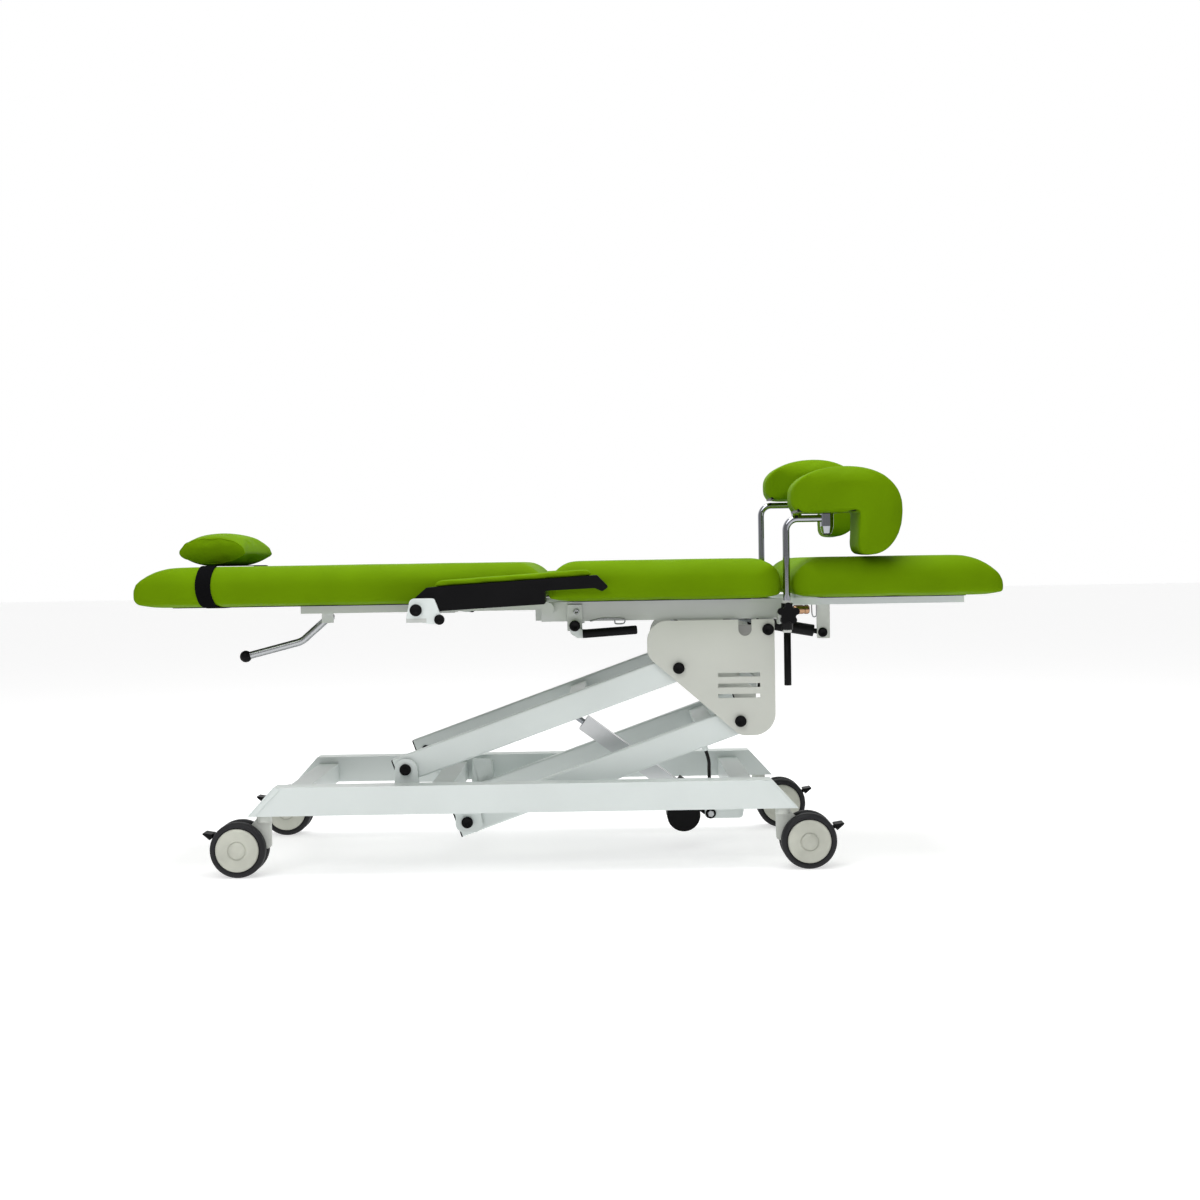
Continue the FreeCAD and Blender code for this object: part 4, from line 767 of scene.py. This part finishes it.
def pivot_caps():
    """Caps on the pivots of the lift, tilt, armrests and seat lever, and screws above the lever."""
    upper_low, lower_low, upper_high = PIVOTS["lift"], PIVOTS["lower_arm_turn"], PIVOTS["carriage_level"]
    lower_high = lower_low + upper_high - upper_low
    base_face, plate_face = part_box("base_pivot_pins")[1].y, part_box("carriage_pins")[1].y
    base_places = both_sides(upper_low, base_face) + both_sides(lower_low, base_face)
    caps("base_pivot_caps", base_places, BLACK, "base")
    plate_places = both_sides(upper_high, plate_face) + both_sides(lower_high, plate_face)
    plate_places += both_sides(PIVOTS["seat_tilt"], plate_face)
    caps("carriage_pivot_caps", plate_places, BLACK, "carriage")
    rest_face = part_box("armrest_brackets")[1].y
    caps("armrest_pivot_caps", both_sides(PIVOTS["armrest_raise_near"], rest_face), BLACK, "backrest")
    lever, lever_face = PIVOTS["seat_lever_pull"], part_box("seat_lever_arm")[1].y
    caps("seat_lever_caps", both_sides(lever, lever_face), BLACK, "seat_lever", radius=0.0125)
    bracket_face, ahead, above = lever_face - 0.008, 0.004, 0.032
    screws = bmesh.new()
    for sign in SIDES.values():
        place = (lever.x + ahead, sign * bracket_face, lever.z + above)
        screw(screws, place, radius=0.0065, height=0.004, axis=(0, sign, 0))
    piece("seat_bracket_screws", screws, SATIN, "seat")


def armrest_stops():
    """A small bracket below each armrest pivot with a rubber stop on its pin."""
    pivot = PIVOTS["armrest_raise_near"]
    face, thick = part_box("armrest_brackets")[1].y - 0.0055, 0.006
    # The bracket's corners from the pivot, as (along, up, corner radius)
    bracket = [(0.004, -0.007, 0.002), (0.004, -0.023, 0.002), (0.014, -0.028, 0.002),
               (0.034, -0.031, 0.004), (0.052, -0.031, 0.008), (0.052, -0.007, 0.002)]
    outline = rounded([(pivot.x + along, pivot.z + up, radius) for along, up, radius in bracket], 4)
    stop_x, stop_z = pivot.x + 0.050, pivot.z - 0.0213
    stop = cap_profile(radius=0.0112, height=0.006)
    plates, stops = bmesh.new(), bmesh.new()
    for sign in SIDES.values():
        low, high = sorted((sign * (face - thick), sign * face))
        prism(outline, low, high, "xz", plates)
        lathe(stops, stop, (stop_x, sign * face, stop_z), (0, sign, 0), steps=40)
    piece("armrest_stop_brackets", plates, PAINT, "backrest", smooth=False)
    piece("armrest_stop_caps", stops, BLACK, "backrest")


def arm_plugs():
    """Flanged plastic plugs that close the ends of the lift arms' tubes."""
    span = PIVOTS["carriage_level"] - PIVOTS["lift"]
    along = span.normalized()
    across = Vector((-along.z, 0, along.x))
    over, half_wide, half_high = 0.023, 0.015, 0.030
    tube_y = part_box("upper_arm_frame")[1].y - half_wide
    square = ((-1, -1), (1, -1), (1, 1), (-1, 1))
    # Steps of the plug from its inner end, as (depth past the tube's end, inset from its outer faces)
    steps = ((-0.012, 0.0035), (0.0, 0.0035), (0.0, 0.0005), (0.0022, 0.0005), (0.0034, 0.0020))
    for name, pivot, body in (("upper_arm_plugs", PIVOTS["lift"], "upper_arm"),
                              ("lower_arm_plugs", PIVOTS["lower_arm_turn"], "lower_arm")):
        bm = bmesh.new()
        for at, out in ((-over, -1), (span.length + over, 1)):
            for sign in SIDES.values():
                rings = []
                for depth, inset in steps:
                    middle = pivot + along * (at + out * depth) + Vector((0, sign * tube_y, 0))
                    up, aside = across * (half_high - inset), Vector((0, half_wide - inset, 0))
                    rings.append([bm.verts.new(middle + z * up + y * aside) for z, y in square])
                loft(bm, rings)
        piece(name, bm, BLACK, body, smooth=False)


def drive_bolts():
    """Hexagon bolt head and nut, each on a black washer, on the actuator's rear pin."""
    place, lug_face = PIVOTS["actuator_turn"], 0.019
    washer_top, head_top = 0.0036, 0.0094
    washer = disc_profile(radius=0.0125, low=0, high=washer_top, cut_in=0.0007, cut_down=0.0006)
    head = disc_profile(radius=0.0082, low=washer_top, high=head_top, cut_in=0.0010, cut_down=0.0009)
    bolts, washers = bmesh.new(), bmesh.new()
    for sign in SIDES.values():
        face = (place.x, sign * lug_face, place.z)
        lathe(washers, washer, face, (0, sign, 0), steps=40)
        lathe(bolts, head, face, (0, sign, 0), steps=6)
    piece("drive_bolts", bolts, SATIN, "base", smooth=False)
    piece("drive_washers", washers, BLACK, "base", smooth=False)


def notch_inserts():
    """Grey half-round inserts in the notches of the side plates' upper edges."""
    _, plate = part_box("side_plates")
    x, z, radius, rise = plate.x - 0.067, plate.z - 0.022, 0.0152, 0.010
    sunk, deep = 0.0012, 0.0055
    outline = [(x + radius, z + rise), (x - radius, z + rise)]
    outline += arc((x, z), radius, 180, 360, steps=24)
    for side, sign in SIDES.items():
        low, high = sorted((sign * (plate.y - deep), sign * (plate.y - sunk)))
        piece(f"notch_insert_{side}", prism(outline, low, high, "xz"), INSERT, "carriage", smooth=False)


def lever_ball():
    """The round black knob on the end of the backrest's lever."""
    low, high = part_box("back_lever_knob")
    radius = 0.0135
    half_round = arc((0, 0), radius, -90, 90, steps=24)
    bm = lathe(bmesh.new(), half_round, (low + high) / 2, (1, 0, 0), steps=40)
    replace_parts(piece("lever_ball", bm, BLACK, "back_lever"), "back_lever_knob")


def seat_latch():
    """A bent wire handle along the lower edge of the near seat rail, above the grip."""
    lever, wire_y, wire_radius = PIVOTS["seat_lever_pull"], -0.2135, 0.0017
    # The wire's bends from the lever's pivot, as (along, up)
    bends = [(0.0348, 0.0097), (0.046, 0.012), (0.0576, 0.0152), (0.075, 0.0152), (0.1115, 0.0146),
             (0.115, 0.011), (0.1135, 0.005), (0.109, 0.0025), (0.093, 0.0027), (0.0908, 0.006),
             (0.0917, 0.0112)]
    handle = [(lever.x + along, wire_y, lever.z + up) for along, up in bends]
    wire("seat_latch", handle, wire_radius, SATIN, "seat")


def leg_fittings():
    """Face plate and cap of the leg spring's lug, bronze bush and wire loop below the near leg bar."""
    spring, hinge = PIVOTS["leg_cylinder_turn"], PIVOTS["legrest_lower"]
    lug_face, thick, bar_y = spring.y - 0.013, 0.004, -0.172
    plate_face = lug_face - thick
    before, beyond, below = 0.013, 0.017, 0.014
    low_round, top_round, loop_radius = 0.003, 0.001, 0.0014
    plate = rectangle(spring.x - before, spring.x + beyond, spring.z - below, hinge.z,
                      (low_round, low_round, top_round, top_round))
    bm = prism(rounded(plate, 4), plate_face, lug_face, "xz")
    piece("leg_spring_plate", bm, FORK, "legrest", smooth=False)
    caps("leg_spring_cap", [(spring.x, plate_face, spring.z)], BLACK, "legrest", radius=0.011)
    # The bush as (radius, along) from its end at the hinge
    bush = [(0, 0), (0.0085, 0), (0.0105, 0.002), (0.0105, 0.022), (0.0095, 0.0235), (0.0095, 0.026),
            (0.0105, 0.0275), (0.0105, 0.034), (0.008, 0.0375), (0, 0.038)]
    start = (hinge.x + 0.028, bar_y, hinge.z - 0.011)
    piece("leg_hinge_bush", lathe(bmesh.new(), bush, start, (1, 0, 0), steps=40), BRONZE, "legrest")
    # The loop's bends from the hinge, as (along, up)
    bends = [(0.071, 0.004), (0.071, -0.018), (0.073, -0.027), (0.078, -0.029), (0.082, -0.026),
             (0.082, -0.017), (0.082, 0.004)]
    loop = [(hinge.x + along, bar_y, hinge.z + up) for along, up in bends]
    wire("leg_wire_loop", loop, loop_radius, SATIN, "legrest")


def rail_end_bands():
    """Raised bands along the sloped ends of the base rails' outer faces."""
    low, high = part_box("base_rails")
    slope, inset, wide, proud, trim = 0.0585, 0.006, 0.012, 0.0025, 0.0015
    bottom, top = low.z + trim, high.z - trim
    bm = bmesh.new()
    for hand, end in ((-1, low.x), (1, high.x)):
        outer, inner = end - hand * inset, end - hand * (inset + wide)
        outline = [(outer, bottom), (outer - hand * slope, top), (inner - hand * slope, top),
                   (inner, bottom)]
        for sign, y in ((-1, low.y), (1, high.y)):
            near, far = sorted((y, y + sign * proud))
            prism(outline, near, far, "xz", bm)
    piece("rail_end_bands", bm, PAINT, "base", smooth=False)


def supply_cable():
    """The cable from the control box up to the lower arm, along the same route as the solid."""
    x, y, foot = 0.312, -0.206, box_of("control_box")[1][2]
    arm_y, radius, steps = -0.190, 0.004, 16
    route = [(x, y, foot), (x, y, foot + 0.017), (x, y + 0.005, foot + 0.035), (0.3131, arm_y, 0.2362),
             (0.3058, arm_y, 0.2569)]
    path = [v.co.copy() for v in traced(route).vertices]
    bm = bmesh.new()
    rings = []
    for i, place in enumerate(path):
        ahead = (path[min(i + 1, len(path) - 1)] - path[max(i - 1, 0)]).normalized()
        side = ahead.cross(Vector((1, 0, 0))).normalized()
        rings.append(ring(bm, place, side, ahead.cross(side), radius, steps))
    loft(bm, rings)
    tube = piece("supply_cable", bm, CABLE, None)
    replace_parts(tube, "lift_cable")
    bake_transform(tube)


def dress():
    """Finishes for the nodes that stay, with softened edges."""
    finish = {
        PAINT: ["base_rails", "base_cross_members", "arm_pivot_brackets", "control_box", "upper_arm_frame",
                "lower_arm_frame", "carriage_cross_bars", "leg_frame", "armrest_brackets", "seat_lever_arm"],
        # Painted shade: the seat and back frames take the darker copy of the frame paint
        FRAME_PAINT_PAINTED_SHADE: ["seat_frame", "back_frame"],
        PLATE: ["side_plates"],
        BLACK: ["base_pivot_pins", "carriage_pins", "actuator_motor", "armrest_shell_near",
                "armrest_shell_far", "star_knob_near", "star_knob_far"]
               + [f"brake_pedal_{key}" for key in CASTERS],
        CLEAR_RING: ["support_collar_near", "support_collar_far"],
        GRIP: ["seat_lever_grip"],
        STEEL: ["back_cylinder", "leg_cylinder", "tilt_cylinder", "clamp_blocks", "support_head_near",
                "support_head_far"],
        CHROME: ["back_gas_rod", "leg_gas_rod", "tilt_gas_rod", "actuator_rod", "support_post_near",
                 "support_post_far"],
        SATIN: ["back_lever"],
        ALUMINIUM: ["actuator_tube"],
        FORK: [f"caster_fork_{key}" for key in CASTERS],
    }
    soft_edge = {PAINT: 0.0014, FRAME_PAINT_PAINTED_SHADE: 0.0014, PLATE: 0.0012, BLACK: 0.001, FORK: 0.0015,
                 STEEL: 0.0008}
    already_round = ("upper_arm_frame", "lower_arm_frame")
    for mat, names in finish.items():
        for name in names:
            obj = NODES[name]
            obj.data.materials.clear()
            obj.data.materials.append(mat)
            if mat in soft_edge and name not in already_round:
                weld = obj.modifiers.new("weld", "WELD")
                weld.merge_threshold = 0.00002
                edge = obj.modifiers.new("edge", "BEVEL")
                edge.width = soft_edge[mat]
                edge.segments = 2
                edge.limit_method = "ANGLE"
                edge.angle_limit = math.radians(40)
                edge.harden_normals = True


# Stage

def floor():
    """A wide pale floor that glows a little, like lit studio paper."""
    size, albedo, glow = 30, 0.62, 0.56
    corners = [(x * size, y * size, 0) for x, y in ((-1, -1), (1, -1), (1, 1), (-1, 1))]
    data = bpy.data.meshes.new("floor")
    data.from_pydata(corners, [], [(0, 1, 2, 3)])
    mat, _, main = shader("floor", (albedo, albedo, albedo), 0.8, specular=0.1)
    main.inputs["Emission Color"].default_value = (1, 1, 1, 1)
    main.inputs["Emission Strength"].default_value = glow
    new_object("floor", data, mat, None, smooth=False)


def studio():
    """White surroundings, dimmer on the near side."""
    near, far = 0.3, 1.0
    world = bpy.data.worlds.new("studio")
    scene.world = world
    world.use_nodes = True
    nodes, links = world.node_tree.nodes, world.node_tree.links
    sky = nodes["Background"]
    sky.inputs["Color"].default_value = (1, 1, 1, 1)
    direction = nodes.new("ShaderNodeTexCoord")
    split = nodes.new("ShaderNodeSeparateXYZ")
    spread = nodes.new("ShaderNodeMapRange")
    for key, value in (("From Min", -0.2), ("From Max", 0.6), ("To Min", near), ("To Max", far)):
        spread.inputs[key].default_value = value
    links.new(direction.outputs["Generated"], split.inputs["Vector"])
    links.new(split.outputs["Y"], spread.inputs["Value"])
    links.new(spread.outputs["Result"], sky.inputs["Strength"])


def lamps():
    """A weak key light from the near left and a broad one overhead."""
    for name, place, aim, power, wide in (("key", (-1.0, -2.8, 3.2), (0, 0, 0.5), 50, 2.2),
                                          ("top", (0.2, 0.0, 3.4), (0, 0, 0.6), 105, 2.6)):
        light = bpy.data.lights.new(name, "AREA")
        light.energy = power
        light.size = wide
        lamp = bpy.data.objects.new(name, light)
        lamp.location = place
        lamp.rotation_euler = (Vector(aim) - Vector(place)).to_track_quat("-Z", "Y").to_euler()
        scene.collection.objects.link(lamp)


def stage():
    """Floor, surroundings and lights, shown without a film look."""
    floor()
    studio()
    lamps()
    scene.view_settings.view_transform = "Standard"


def camera():
    """The photograph's viewpoint, fitted to the base frame and casters."""
    place = Vector((0.0747, -3.6405, 0.6953))
    yaw, pitch, roll = math.radians(-0.1055), math.radians(-1.4649), math.radians(-0.9497)
    focal_px, frame_px, sensor = 1504.5, 1200, 36
    forward = Vector((math.sin(yaw) * math.cos(pitch), math.cos(yaw) * math.cos(pitch), math.sin(pitch)))
    level = Vector((math.cos(yaw), -math.sin(yaw), 0))
    upright = level.cross(forward)
    right = math.cos(roll) * level + math.sin(roll) * upright
    up = right.cross(forward)
    data = bpy.data.cameras.new("camera")
    data.sensor_width = sensor
    data.lens = sensor * focal_px / frame_px
    cam = bpy.data.objects.new("camera", data)
    turn = Matrix((right, up, -forward)).transposed()
    cam.matrix_world = Matrix.Translation(place) @ turn.to_4x4()
    scene.collection.objects.link(cam)
    scene.camera = cam


camera()
supply_cable()
stage()
main_pads()
knee_pads()
pillow()
armrest_pads()
boards()
wheels()
post_sleeves()
pivot_caps()
armrest_stops()
arm_plugs()
drive_bolts()
notch_inserts()
lever_ball()
seat_latch()
leg_fittings()
rail_end_bands()
dress()
